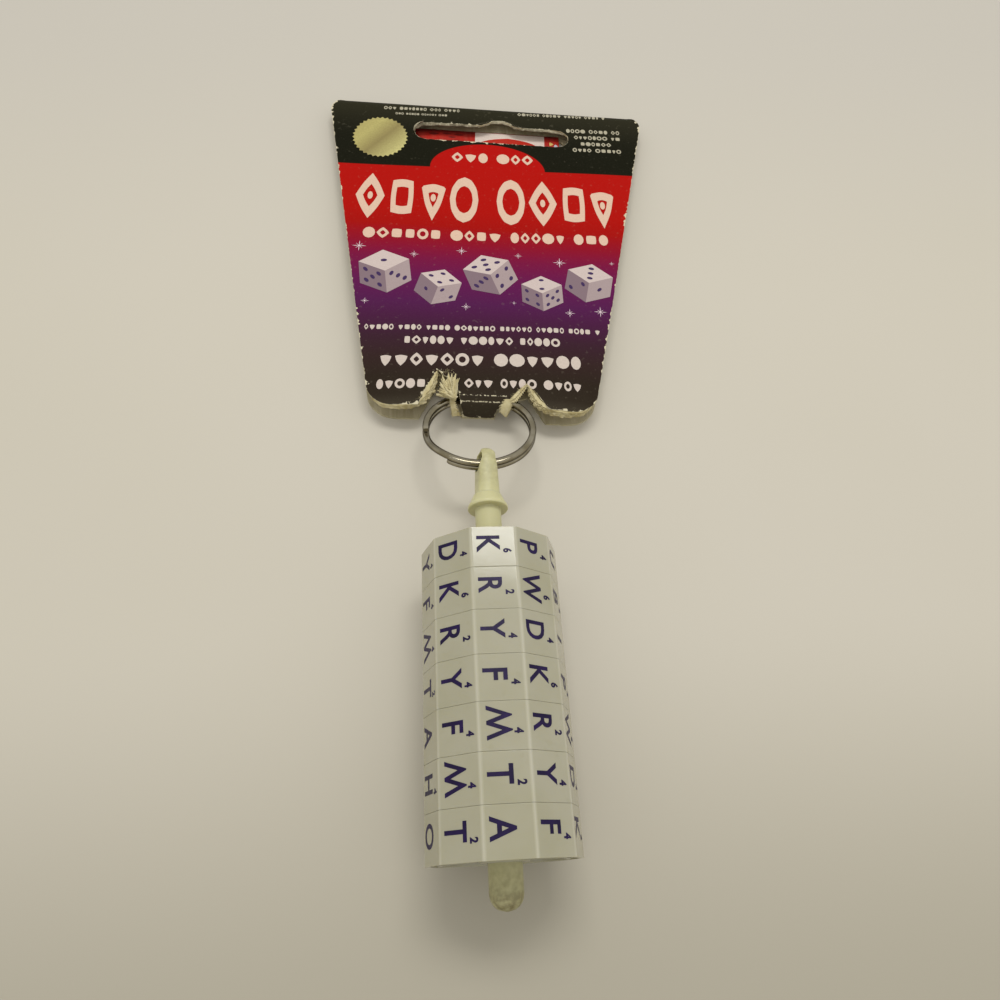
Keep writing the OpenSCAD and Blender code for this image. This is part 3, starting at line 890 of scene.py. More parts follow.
# %% Spindle
SPINDLE_HEIGHT = 12.5
TIP_Y, TIP_ROUND, TIP_POWER = -34.975, 2.9, 2.2
BULGE_RADIUS, BULGE_LENGTH, NECK_BLEND = 2.9, 8.5, 1.5
SHAFT_RADIUS = 2.65
FLANGE_Y, FLANGE_RADIUS, FLANGE_RIM, FLANGE_CONE = 37.575, 4.12, 0.9, 2.3
POST_RADIUS, POST_EYE_RADIUS = 2.85, 2.95
POST_FLAT, POST_EYE_FLAT, FLAT_ROUNDING = 2.45, 1.85, 1.05
EYE_Y, EYE_RADIUS, EYE_FILLET = 48.975, 2.35, 0.3
POST_TURN = math.radians(12)
EDGE_SOFTNESS, THINNEST, AXIS_GAP = 5, 0.015, 0.02
POST_START = FLANGE_Y + FLANGE_RIM + 1.2
SPINDLE_LEAN = 0.42
# Darkening by distance from the tip: full at the tip is painted shade, where the wheels' shadow
# falls and the end turns from the light, with some dirt; a smaller share darkens the post near
# the eye.
SHADE_AND_GRIME_FROM_TIP = (0, 1.2, 4.5, 9, 12, 76, 79, 90)
SHADE_AND_GRIME = (1.0, 0.9, 0.3, 0.12, 0, 0, 0.3, 0.36)


def turned(profile, sides=72):
    """Surface of revolution: point(y, a) = (r(y) sin a, y, height + r(y) cos a)."""
    turn = circle(sides)
    radius, y = profile[:, :1], profile[:, 1:]
    points = stacked(radius * np.sin(turn), y, SPINDLE_HEIGHT + radius * np.cos(turn))
    last = (len(profile) - 1) * sides
    caps = [list(range(sides))[::-1], list(range(last, last + sides))]
    walls = grid_faces(len(profile), sides, False, True)
    return points.reshape(-1, 3), walls.tolist() + caps


def shaft_profile():
    """(radius, y): a tip that follows |r|^p + |y|^p = 1, a bulge, a cosine blend to the
    shaft, then the flange with rounded rims and its cone."""
    t = np.sin(np.linspace(0, math.pi / 2, 16))
    t[0] = 0.003
    cap = BULGE_RADIUS * (1 - (1 - t) ** TIP_POWER) ** (1 / TIP_POWER)
    tip = stacked(cap, TIP_Y + TIP_ROUND * t)
    w = np.linspace(0, 1, 9)
    narrowing = (BULGE_RADIUS - SHAFT_RADIUS) * (1 + np.cos(math.pi * w)) / 2
    neck = stacked(SHAFT_RADIUS + narrowing, TIP_Y + BULGE_LENGTH + NECK_BLEND * w)
    rim_end = FLANGE_Y + FLANGE_RIM
    cone_end = rim_end + FLANGE_CONE
    rest = [
        (SHAFT_RADIUS, 0.0), (SHAFT_RADIUS, FLANGE_Y - 0.1),
        (SHAFT_RADIUS + 0.03, FLANGE_Y - 0.03), (SHAFT_RADIUS + 0.1, FLANGE_Y),
        (FLANGE_RADIUS - 0.2, FLANGE_Y), (FLANGE_RADIUS - 0.06, FLANGE_Y + 0.06),
        (FLANGE_RADIUS, FLANGE_Y + 0.2), (FLANGE_RADIUS, rim_end - 0.3),
        (FLANGE_RADIUS - 0.1, rim_end - 0.05), (FLANGE_RADIUS - 0.35, rim_end + 0.25),
        (POST_RADIUS + 0.12, cone_end - 0.15), (POST_RADIUS - 0.05, cone_end),
        (AXIS_GAP, cone_end),
    ]
    return np.concatenate([tip, neck, rest])


def bar_radius(y):
    return np.interp(y, [FLANGE_Y, EYE_Y], [POST_RADIUS, POST_EYE_RADIUS])


def crowd(y, b, undo=False):
    """Moves points towards the post's outline: a share q of the way out becomes
    sin(q 90 degrees), so that a net spread evenly over q bends smoothly round the bar."""
    beyond = np.maximum(y - EYE_Y, 0)
    share = np.clip(np.hypot(b, beyond) / bar_radius(y), 1e-9, 1)
    moved = 2 / math.pi * np.arcsin(share) if undo else np.sin(share * math.pi / 2)
    stretch = moved / share
    return stacked(np.where(beyond > 0, EYE_Y + beyond * stretch, y), b * stretch)


def eye_post():
    """Half thickness h(y, b) = smooth minimum of the bar sqrt(R(y)^2 - b^2) and the flat
    f(y), less a fillet at the hole. Then both sides are turned about the bar's axis."""
    side = np.linspace(POST_START, EYE_Y, 24)
    radius = bar_radius(side)
    outline = np.concatenate(
        [
            stacked(side, -radius)[:-1],
            circle_arc(EYE_Y, 0, POST_EYE_RADIUS, -90, 90, 30),
            stacked(side, radius)[::-1][1:],
            stacked(POST_START, np.linspace(radius[0], -radius[0], 12)[1:-1]),
        ]
    )
    hole = circle_arc(EYE_Y, 0, EYE_RADIUS, 0, 360, 49)[:-1]
    even = [crowd(*loop.T, undo=True) for loop in (outline, hole)]
    points, triangles = filled(even, 0.2, 0.08)
    y, b = crowd(*points.T).T
    beyond = np.maximum(y - EYE_Y, 0)
    bar = np.sqrt(np.maximum(bar_radius(y) ** 2 - beyond**2 - b**2, 0))
    flat = np.interp(y, [POST_START, EYE_Y], [POST_FLAT, POST_EYE_FLAT])
    flat = np.sqrt(np.maximum(flat**2 - np.maximum(beyond - FLAT_ROUNDING, 0) ** 2, 0))
    soft = np.exp(-EDGE_SOFTNESS * bar) + np.exp(-EDGE_SOFTNESS * flat)
    thick = -np.log(soft) / EDGE_SOFTNESS
    inside = np.clip(EYE_FILLET - (np.hypot(y - EYE_Y, b) - EYE_RADIUS), 0, EYE_FILLET)
    thick -= EYE_FILLET - np.sqrt(EYE_FILLET**2 - inside**2)
    thick = np.maximum(thick, THINNEST)
    c, s = math.cos(POST_TURN), math.sin(POST_TURN)
    sides = [
        stacked(way * thick * c + b * s, y, SPINDLE_HEIGHT - way * thick * s + b * c)
        for way in (1, -1)
    ]
    return np.concatenate(sides), shell_faces(triangles, len(points))


spindle_points, spindle_faces = joined([turned(shaft_profile()), eye_post()])
from_tip = spindle_points[:, 1] - TIP_Y
spindle_points[:, 0] += SPINDLE_LEAN * np.clip(from_tip / (EYE_Y - TIP_Y), 0, 1.05)
spindle = make_piece(
    "spindle_body", spindle_points, spindle_faces, SPINDLE_PLASTIC, sharp=48
)
# Painted shade with some dirt, strongest at the tip.
store(spindle, "shade_and_grime", np.interp(from_tip, SHADE_AND_GRIME_FROM_TIP, SHADE_AND_GRIME))
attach(spindle, "spindle")
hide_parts("spindle")
print("spindle faces", len(spindle_faces))

# %% [markdown]
# ## The split ring
# Flat wire is wound nearly twice, and one coil climbs to the other over a short stretch. The
# section is a rounded rectangle carried along that path. On the real ring the coils lie
# against each other with only a dark line between them.

# %% Ring
RING_CENTRE = np.array([-0.2, 60.0401, 8.0572])
RING_TILT = math.radians(18)
RING_RADIUS = 11.95
WIRE_WIDTH, WIRE_HEIGHT, WIRE_POWER = 1.5, 1.16, 3.2
COIL_LIFT = 0.6
CLIMB_FROM, CLIMB_SPAN = 184.0, 49.0
END_REACH, END_SHARE = 1.2, 0.8
RING_STEPS, RING_SIDES = 300, 20


def ring_surface():
    """Point(t, s): a circle of the ring's radius plus a superellipse section
    (|x|^p + |z|^p = 1), lifted by a smooth step over the climb and narrowed at both ends."""
    turn = np.linspace(CLIMB_FROM + CLIMB_SPAN, CLIMB_FROM + 720, RING_STEPS)[:, None]
    share = np.clip((turn - CLIMB_FROM - 360) / CLIMB_SPAN, 0, 1)
    lift = COIL_LIFT * (2 * share**2 * (3 - 2 * share) - 1)
    s = circle(RING_SIDES)
    sum_of_powers = np.abs(np.cos(s)) ** WIRE_POWER + np.abs(np.sin(s)) ** WIRE_POWER
    grow = sum_of_powers ** (-1 / WIRE_POWER)
    from_end = np.minimum(turn - turn[0], turn[-1] - turn) / END_REACH
    narrow = END_SHARE + (1 - END_SHARE) * np.sqrt(np.clip(from_end, 0, 1))
    reach = RING_RADIUS + narrow * np.cos(s) * grow * WIRE_WIDTH / 2
    height = narrow * np.sin(s) * grow * WIRE_HEIGHT / 2 + lift
    angle = np.radians(turn)
    x, y = reach * np.cos(angle), reach * np.sin(angle)
    ct, st = math.cos(RING_TILT), math.sin(RING_TILT)
    points = stacked(x, ct * y + st * height, -st * y + ct * height).reshape(-1, 3)
    faces = grid_faces(RING_STEPS, RING_SIDES, False, True)[:, ::-1].tolist()
    last = RING_SIDES * (RING_STEPS - 1)
    ends = [list(range(RING_SIDES)), list(range(last, last + RING_SIDES))[::-1]]
    return points + RING_CENTRE, faces + ends


ring = make_piece("ring_wire", *ring_surface(), NICKEL, sharp=50)
step = np.arange(len(ring.data.vertices))
ring_map = stacked((step // RING_SIDES) / RING_STEPS, (step % RING_SIDES) / RING_SIDES)
add_map(ring, "wire", ring_map)
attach(ring, "split_ring")
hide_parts("split_ring")

# %% [markdown]
# ## The folded card
# The card is one sheet. Flat, it runs from the tongue at the ring, up the front leaf, over
# the top fold and down the back leaf. So its outline is drawn once on the flat sheet, filled
# with a fine triangle net, and every point is then carried to its place in the folded tag.

# %% Tag sizes
TAG_PLACE = (0.98, 67.105)
TAG_TURN = math.radians(-3.4)
CARD_THICKNESS = 0.45
TAG_TOP_HALF, TAG_BOTTOM_HALF = 45.75, 27.5
TOP_CORNER, BOTTOM_CORNER = 5.0, 7.0
LEAF_BOTTOM_Z = 6.9
LEAF_SLOPE = (LEAF_BOTTOM_Z - 2 * FOLD_RADIUS) / FOLD_START
CREASE_V, TONGUE_REACH = 2.5, 7.5
TONGUE_PATH = np.array(
    [(2.5, 6.83), (1.5, 6.62), (0.9, 6.3), (0.6, 5.7), (0.5, 4.9), (0.6, 3.0), (0.8, 0.5)]
)
DROOP, DROOP_FROM, DROOP_OVER, DROOP_UP_TO = 1.9, 6.0, 21.0, 45.0
WAVE, WAVE_FADE = 0.11, 22


def leaf_warp(u, v):
    """Slow waves of a handled card, fading out at the fold, less a droop of the two lower
    corners that grows with the square of the distance from the middle and from its top."""
    fade = np.clip((FOLD_START - v) / WAVE_FADE, 0, 1)
    waves = np.sin(u / 13 + 0.8) * np.cos(v / 19 + 0.4) + 0.6 * np.sin(u / 7 - v / 26)
    out = np.clip((np.abs(u) - DROOP_FROM) / DROOP_OVER, 0, 1) ** 2
    down = np.clip(1 - v / DROOP_UP_TO, 0, 1) ** 2
    return WAVE * fade * waves - DROOP * out * down


def place_on_tag(u, v, z):
    """From the tag's own directions to the object's frame."""
    c, s = math.cos(TAG_TURN), math.sin(TAG_TURN)
    return stacked(TAG_PLACE[0] + u * c - v * s, TAG_PLACE[1] + u * s + v * c, z)


def leaf_height(u, v):
    """Height of the printed front face: a plane that falls towards the fold, and its warp."""
    return LEAF_BOTTOM_Z - LEAF_SLOPE * v + leaf_warp(u, v)


def front_point(u, v, lift):
    """A point on the printed front leaf, raised by lift."""
    return place_on_tag(u, v, leaf_height(u, v) + lift)


def distance_along(points):
    """How far along a line each of its points lies."""
    return np.concatenate([[0], np.cumsum(np.hypot(*np.diff(points, axis=0).T))])


def fold_sheet(u, s, depth):
    """Carries flat sheet points to the folded tag, depth below the printed face. (v, z) is
    the printed face's place and (nv, nz) its normal: a slope up to the fold, then
    radius * (sin a, cos a), then the flat back leaf. The tongue follows a path instead."""
    bend = np.clip((s - FOLD_START) / FOLD_RADIUS, 0, math.pi)
    over = s > FOLD_START
    v = np.where(over, FOLD_START + FOLD_RADIUS * np.sin(bend), s)
    z = np.where(over, FOLD_RADIUS * (1 + np.cos(bend)), leaf_height(u, s))
    nv = np.where(over, np.sin(bend), LEAF_SLOPE)
    nz = np.where(over, np.cos(bend), 1.0)
    v = np.where(s > FOLD_START + FOLD_LENGTH, SHEET_END - s, v)
    run = distance_along(TONGUE_PATH)
    travelled = np.clip(CREASE_V - s, 0, run[-1])

    def on_path(step):
        here = np.clip(travelled + step, 0, run[-1])
        return np.array([np.interp(here, run, way) for way in TONGUE_PATH.T])

    tv, tz = on_path(0)
    dv, dz = on_path(0.3) - on_path(-0.3)
    size = np.maximum(np.hypot(dv, dz), 1e-6)
    on_tongue = (s < CREASE_V) & (np.abs(u) < TONGUE_REACH)
    v = np.where(on_tongue, tv, v)
    z = np.where(on_tongue, tz + 0.06 * np.sin(u * 1.7 + travelled), z)
    nv = np.where(on_tongue, dz / size, nv)
    nz = np.where(on_tongue, -dv / size, nz)
    return place_on_tag(u, v - depth * nv, z - depth * nz)


# %% The flat sheet's outline
NICK_DEPTH, TORN_FADE = 0.45, 0.8
SLOT_CENTRE = (1.4, 97.2)
SLOT_LENGTH, SLOT_HEIGHT = 45.0, 7.6
SLOT_BUMP_WIDTH, SLOT_BUMP_HEIGHT, SLOT_BUMP_SHIFT = 12.4, 2.8, 2.1
TONGUE_END = CREASE_V - 7.4
BACK_END = 0.9
LEFT_FOOT, RIGHT_FOOT = -14.9, 15.2


def right_side(step=0.7):
    """Outline from the bottom edge to the fold: arc, tangent line, arc. The line's normal
    leans so that both corner circles touch it."""
    low = np.array([TAG_BOTTOM_HALF - BOTTOM_CORNER, BOTTOM_CORNER])
    high = np.array([TAG_TOP_HALF - TOP_CORNER, TAG_HEIGHT - TOP_CORNER])
    length = np.hypot(*(high - low))
    along = (high - low) / length
    lean = math.asin((BOTTOM_CORNER - TOP_CORNER) / length)
    normal = np.array([along[1], -along[0]]) * math.cos(lean) + along * math.sin(lean)
    angle = math.degrees(math.atan2(normal[1], normal[0]))
    foot = circle_arc(*low, BOTTOM_CORNER, -90, angle, 12)
    a, b = low + normal * BOTTOM_CORNER, high + normal * TOP_CORNER
    t = np.linspace(0, 1, int(length / step))[1:-1, None]
    head = circle_arc(*high, TOP_CORNER, angle, 90, 12)
    return np.concatenate([foot, a + (b - a) * t, head])


def to_sheet(points):
    """Height in the folded tag to distance along the flat sheet, up to the fold's middle."""
    u, v = points.T
    bend = np.arcsin(np.clip((v - FOLD_START) / FOLD_RADIUS, 0, 1))
    return stacked(u, np.where(v > FOLD_START, FOLD_START + FOLD_RADIUS * bend, v))


def turned_over(points):
    """The same outline on the back leaf, mirrored about the fold's middle."""
    return stacked(points[:, 0], SHEET_END - points[:, 1])[::-1]


def finely(points, step, jag=0.0, seed=0):
    """Splits a line of points into short steps and pushes each sideways by seeded noise."""
    points = np.asarray(points, float)
    run = distance_along(points)
    at = np.linspace(0, run[-1], max(2, int(run[-1] / step)))
    fine = stacked(*(np.interp(at, run, way) for way in points.T))
    if jag:
        aim = np.gradient(fine, axis=0)
        aim /= np.maximum(np.hypot(*aim.T)[:, None], 1e-6)
        fade = np.clip(np.minimum(at, run[-1] - at) / TORN_FADE, 0, 1)
        push = jag * wave_noise(at, seed, 6, 2.4) * fade
        fine += stacked(-aim[:, 1], aim[:, 0]) * push[:, None]
    return fine


def nicked(points, seed, depth=NICK_DEPTH):
    """Rubs small nicks into a side edge, always inwards, and only here and there."""
    run = np.arange(len(points))
    here = np.clip(wave_noise(run, seed + 40, 4, 0.11) + 0.15, 0, 1)
    bite = np.clip(wave_noise(run, seed, 6, 0.55), 0, 1) ** 2 * depth * here
    return points - stacked(np.sign(points[:, 0]) * bite, 0)


RIGHT_NOTCH = [(RIGHT_FOOT, 0), (13.6, 2.6), (11.4, 5.9), (10.4, 6.6), (8.0, 4.2), (6.6, 2.4)]
LEFT_NOTCH = [
    (-5.4, 2.4), (-6.2, 6.0), (-9.2, 8.4), (-10.8, 10.0), (-13.0, 5.1), (LEFT_FOOT, 0)
]
TONGUE_RIGHT = [(6.6, 2.4), (5.9, 1.4), (4.4, 0.4), (3.2, -1.2), (2.9, TONGUE_END)]
TONGUE_LEFT = [(-4.7, TONGUE_END), (-4.8, -1.2), (-5.2, 0.8), (-5.4, 2.4)]
BACK_RIGHT_NOTCH = [(RIGHT_FOOT, 0), (11.0, 7.2), (4.3, 5.0), (3.2, 1.4), (3.0, BACK_END)]
BACK_LEFT_NOTCH = [(-4.8, BACK_END), (-5.0, 1.4), (-6.0, 5.0), (-10.7, 9.9), (LEFT_FOOT, 0)]


def sheet_outline():
    """The whole blank, counter-clockwise, starting at the right notch's outer foot."""
    right = to_sheet(right_side())
    left = right * [-1, 1]
    end = right[0, 0]
    return np.concatenate(
        [
            finely([(RIGHT_FOOT, 0), (end, 0)], 0.6, 0.08, 3)[:-1],
            nicked(right, 11),
            turned_over(nicked(right, 12, 0.15))[1:],
            turned_over(finely([(end, 0), (RIGHT_FOOT, 0)], 0.8, 0.12, 4)[::-1])[1:-1],
            turned_over(finely(BACK_RIGHT_NOTCH[::-1], 0.5, 0.15, 5))[:-1],
            turned_over(finely([(-4.8, BACK_END), (3.0, BACK_END)], 0.5, 0.08, 6)),
            turned_over(finely(BACK_LEFT_NOTCH[::-1], 0.5, 0.15, 7))[1:-1],
            turned_over(finely([(-end, 0), (LEFT_FOOT, 0)], 0.8, 0.12, 8)),
            nicked(turned_over(left)[::-1], 15, 0.15)[1:],
            nicked(left, 13)[::-1][1:],
            finely([(-end, 0), (LEFT_FOOT, 0)], 0.6, 0.08, 9)[1:-1],
            finely(LEFT_NOTCH[::-1], 0.4, 0.16, 10)[:-1],
            finely(TONGUE_LEFT[::-1], 0.5, 0.06, 21)[:-1],
            finely([(-4.7, TONGUE_END), (2.9, TONGUE_END)], 0.6)[:-1],
            finely(TONGUE_RIGHT[::-1], 0.5, 0.06, 22)[:-1],
            finely(RIGHT_NOTCH[::-1], 0.4, 0.16, 23)[:-1],
        ]
    )


def slot_outline(seed):
    """Round-ended slot with a raised part that follows 1 - cos, roughened like torn card."""
    cx, cy = SLOT_CENTRE
    r = SLOT_HEIGHT / 2
    end = SLOT_LENGTH / 2 - r
    rise = np.linspace(0, 1, 15)
    bump_u = cx + SLOT_BUMP_SHIFT + SLOT_BUMP_WIDTH * (0.5 - rise)
    bump_v = cy + r + SLOT_BUMP_HEIGHT * (1 - np.cos(2 * math.pi * rise)) / 2
    right = circle_arc(cx + end, cy, r, -90, 90, 9)
    left = circle_arc(cx - end, cy, r, 90, 270, 9)
    loop = np.concatenate([right, stacked(bump_u, bump_v), left, [[cx + end, cy - r]]])
    return finely(loop, 0.6, 0.13, seed)[:-1]


# %% Fill the outline and fold the sheet
card_loops = [sheet_outline(), slot_outline(31), turned_over(slot_outline(32))]
flat_points, flat_faces = filled(card_loops, 1.5, 0.35)
count = len(flat_points)
card_points = [fold_sheet(*flat_points.T, depth) for depth in (0.0, CARD_THICKNESS)]
card_faces = shell_faces(flat_faces, count)
card = make_piece("folded_card", np.concatenate(card_points), card_faces, CARD_PRINT, sharp=50)
card.data.materials.append(CARD_BOARD)
card.data.materials.append(CARD_EDGE)
side_of = np.minimum(np.arange(len(card_faces)) // len(flat_faces), 2)
card.data.polygons.foreach_set("material_index", side_of)
add_map(card, "sheet", np.tile(flat_points, (2, 1)) / MAP_UNIT)
store(card, "edge_distance", np.tile(edge_distances(flat_points, card_loops), 2))
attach(card, "hang_tag")
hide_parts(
    "card_front_leaf", "card_back_leaf", "card_top_fold", "card_ring_spine"
)
print("card faces", len(card_faces))

# %% [markdown]
# ## The print
# Every printed figure is a plain outline: a radius that blends a regular polygon with a
# circle, filled towards its middle. Rows of small figures give the print its rhythm, with
# nothing to read. Each figure keeps its own colour on its faces and lies a hair above the card.

# %% Printed figures
PRINT_LIFT = 0.03
ROW_SLOPE = 0.03
CREAM, PALE_LINE, HEAD_LINE = (222, 190, 166), (207, 194, 182), (176, 170, 146)
PRINT_SPARK = (226, 206, 212)
ROUND, DIAMOND, SQUARE = (12, 0.0), (4, 0.0), (4, 0.785)
FIGURE_GAP, GROUP_GAP = 0.16, 0.5
SMALLEST_OPENING = 0.001


def ringed(u, v, reach_u, reach_v, shares):
    """A figure about (u, v): its outline at each of these shares, from the rim inwards."""
    shares = np.asarray(shares)[:, None]
    points = stacked(u + shares * reach_u, v + shares * reach_v)
    faces = grid_faces(len(shares), points.shape[1], False, True)
    return points.reshape(-1, 2), faces


def figure(u, v, half_w, half_h, kind, hole, soft, sides=40):
    """Radius = (1 - soft) * polygon + soft, polygon = cos(h) / cos(a mod 2h - h) with
    h = pi / corners. hole is the size of its opening, as a share of the outline."""
    corners, turn = kind
    angle, half = circle(sides), math.pi / corners
    polygon = math.cos(half) / np.cos((angle - turn) % (2 * half) - half)
    radius = (1 - soft) * polygon + soft
    shares = np.linspace(1.0, max(hole, SMALLEST_OPENING), 4)
    reach = half_w * radius * np.cos(angle), half_h * radius * np.sin(angle)
    return ringed(u, v, *reach, shares)


def spark(u, v, size):
    """Eight-pointed sparkle: radius = 0.14 + 0.86 |cos 4a|^9 times the point's length, which
    is 1 for every second point and 0.6 for the others."""
    angle = circle(64)
    length = 0.6 + 0.4 * np.cos(2 * angle) ** 2
    radius = size * (0.14 + 0.86 * np.abs(np.cos(4 * angle)) ** 9 * length)
    across, up = radius * np.cos(angle), radius * np.sin(angle)
    return ringed(u, v, across, up, (1.0, 0.5, SMALLEST_OPENING))


def leaning_face(corners):
    """A four-cornered figure as a small grid between its corners."""
    a, b, c, d = np.asarray(corners, float)
    q = np.linspace(0, 1, 4)[:, None]
    p = q[:, None]
    points = (a * (1 - p) + b * p) * (1 - q) + (d * (1 - p) + c * p) * q
    return points.reshape(-1, 2), grid_faces(4, 4)[:, ::-1]


def figure_row(v, start, end, height, seed, bold=1.0):
    """A row of small figures in groups, from one u to another, with gaps between groups."""
    rng = np.random.default_rng(seed)
    kinds = [(SQUARE, 0.0), (ROUND, 0.5), ((3, 0.5), 0.0), (DIAMOND, 0.45), (ROUND, 0.0)]
    made, u = [], start
    group = rng.integers(3, 8)
    while u < end - height * 0.4:
        kind, hole = kinds[rng.integers(len(kinds))]
        width = height * rng.uniform(0.5, 0.8) * bold
        middle = u + width / 2
        place = middle, v + ROW_SLOPE * middle
        made.append(figure(*place, width / 2 * 1.1, height / 2, kind, hole, 0.3, 24))
        u += width + height * FIGURE_GAP
        group -= 1
        if group == 0:
            group = rng.integers(3, 8)
            u += height * GROUP_GAP
    return made


PIP_PLACES = [(0.5, 0.5), (0.25, 0.25), (0.75, 0.75), (0.25, 0.75), (0.75, 0.25)]
PIP_COUNTS = ((1, 3, 5), (4, 2, 1), (5, 4, 3), (2, 5, 4), (3, 1, 2))
PIP_SIZE = 0.09
DIE_SIDES = ((1, 0, 5), (3, 2, 1), (5, 4, 3))
DIE_TONES = ((206, 190, 184), (168, 150, 150), (130, 110, 118))
PIP_TONE = (52, 30, 84)


def die_figure(u, v, size, lean, first):
    """Three sides of a tilted die. A side is a slanted square a + p (b - a) + q (d - a), and
    its pips are circles in p and q."""
    turn = np.radians(np.array([90, 30, -30, -90, -150, 150]) + lean)
    ring = stacked(u + size * np.cos(turn), v + size * np.sin(turn))
    middle = np.array([u, v])
    around, shares = circle(12), PIP_SIZE * np.array([[1.0], [0.01]])
    made = []
    for (a, b, c), colour, pips in zip(DIE_SIDES, DIE_TONES, PIP_COUNTS[first]):
        face = leaning_face([middle, ring[a], ring[b], ring[c]])
        made.append((face, colour, PRINT_LIFT))
        for p, q in PIP_PLACES[:pips] if pips % 2 else PIP_PLACES[1 : pips + 1]:
            pp = (p + shares * np.cos(around))[..., None]
            qq = (q + shares * np.sin(around))[..., None]
            spot = middle + pp * (ring[a] - middle) + qq * (ring[c] - middle)
            shape = spot.reshape(-1, 2), grid_faces(2, 12, False, True)
            made.append((shape, PIP_TONE, 2 * PRINT_LIFT))
    return made


# %% Lay out the print
def bake(figures, surface, name, body):
    """One mesh of figures, carried to a surface, with each figure's colour on its faces."""
    flat, faces = joined([shape for shape, _, _ in figures])
    lifts = np.concatenate([np.full(len(shape[0]), lift) for shape, _, lift in figures])
    tints = [tone(*colour) for (_, shape_faces), colour, _ in figures for _ in shape_faces]
    piece = make_piece(name, surface(flat[:, 0], flat[:, 1], lifts), faces, PRINT_INK)
    ink = piece.data.attributes.new("ink", "FLOAT_COLOR", "FACE")
    ink.data.foreach_set("color", np.array(tints).ravel())
    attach(piece, body)
    print(name, len(figures), "figures,", len(faces), "faces")
    return piece


TITLE_KINDS = ((DIAMOND, 0.5), (ROUND, 0.6), ((3, 0.52), 0.42), (SQUARE, 0.56))
TITLE_PLACES = (-31.4, -22.8, -14.4, -6.0, 6.8, 15.6, 24.2, 32.2)
TITLE_V, TITLE_SLOPE = 68.9, 0.017
TITLE_HALF, TITLE_CORE = (3.9, 9.0), (0.7, 1.5)
LINES = (
    (CREAM, 55.0, -32.0, 32.4, 4.0), (CREAM, 86.4, -9.8, 12.0, 4.2, 1.1),
    (PALE_LINE, 23.2, -29.0, 29.2, 1.8), (PALE_LINE, 19.3, -19.2, 19.0, 2.6),
    (PALE_LINE, 13.4, -24.6, 24.8, 3.9, 1.1), (PALE_LINE, 6.4, -24.8, -13.0, 2.8),
    (PALE_LINE, 6.4, -4.4, 24.8, 2.8), (HEAD_LINE, 107.4, -30.5, -8.0, 1.5),
    (HEAD_LINE, 105.0, -27.0, -12.0, 1.0), (HEAD_LINE, 107.0, 9.0, 36.0, 1.4),
    (HEAD_LINE, 100.4, 23.4, 40.2, 1.8), (HEAD_LINE, 97.55, 25.6, 39.0, 1.8),
    (HEAD_LINE, 94.7, 27.4, 37.0, 1.8), (HEAD_LINE, 91.85, 25.0, 39.6, 1.8),
)
FIRST_LINE_SEED = 41
DICE = (
    (-25.4, 40.6, 7.4, 8, 0), (-11.8, 36.2, 6.2, -14, 1), (1.4, 41.4, 7.2, 20, 2),
    (14.6, 35.8, 6.0, 2, 3), (26.8, 40.2, 6.8, -10, 4),
)
SPARKS = (
    (-32.6, 49.0, 1.9), (-18.4, 47.0, 1.3), (-6.2, 49.2, 1.5), (8.6, 48.6, 1.1),
    (19.4, 46.8, 1.8), (29.2, 30.6, 1.7), (-29.6, 30.4, 1.1), (-4.6, 30.0, 1.3),
    (21.4, 29.6, 1.4), (7.4, 32.0, 0.7), (33.2, 47.4, 0.8),
)

front_figures = []
for number, u in enumerate(TITLE_PLACES):
    kind, hole = TITLE_KINDS[(number * 3 + number // 4) % 4]
    place = u, TITLE_V + TITLE_SLOPE * u
    shapes = [figure(*place, *TITLE_HALF, kind, hole, 0.22)]
    if hole < 0.55:
        shapes.append(figure(*place, *TITLE_CORE, ROUND, 0.0, 1.0, 16))
    front_figures += [(shape, CREAM, PRINT_LIFT) for shape in shapes]
for number, (colour, v, start, end, height, *bold) in enumerate(LINES):
    row = figure_row(v, start, end, height, FIRST_LINE_SEED + number, *bold)
    front_figures += [(shape, colour, PRINT_LIFT) for shape in row]
for die in DICE:
    front_figures += die_figure(*die)
front_figures += [(spark(*place), PRINT_SPARK, PRINT_LIFT) for place in SPARKS]
printed = bake(front_figures, front_point, "printed_figures", "hang_tag")

# %% Print on the back leaf
BACK_LIFT = 0.012
BACK_LINES, BACK_LINE_PITCH = 9, 4.4
FIRST_BACK_SEED = 61


def back_point(u, v, lift):
    """A point on the back leaf's printed face. Changing u's sign turns figures to face it."""
    return place_on_tag(-u, v, -lift)


back_rows = [figure_row(66.0, -25.0, 25.0, 4.6, 60, 1.1)] + [
    figure_row(56.0 - BACK_LINE_PITCH * line, -24.0, 24.0, 1.8, FIRST_BACK_SEED + line)
    for line in range(BACK_LINES)
]
back_figures = [(shape, PALE_LINE, BACK_LIFT) for row in back_rows for shape in row]
back_printed = bake(back_figures, back_point, "back_figures", "hang_tag")

# %% [markdown]
# ## The gold seal
# A round seal with a toothed edge is common on packaging. Its outline is a circle with a
# triangle wave, and its metallic ink runs from pale yellow to olive gold.

# %% Seal
SEAL_CENTRE, SEAL_HALF = (-30.6, 93.2), (7.9, 8.9)
SEAL_TEETH, SEAL_TOOTH = 34, 0.075
SEAL_RINGS = (
    (1.0, 0), (0.9, 0.01), (0.86, 0.06), (0.82, 0.01), (0.6, 0.02), (0.3, 0.02), (0.001, 0.02)
)


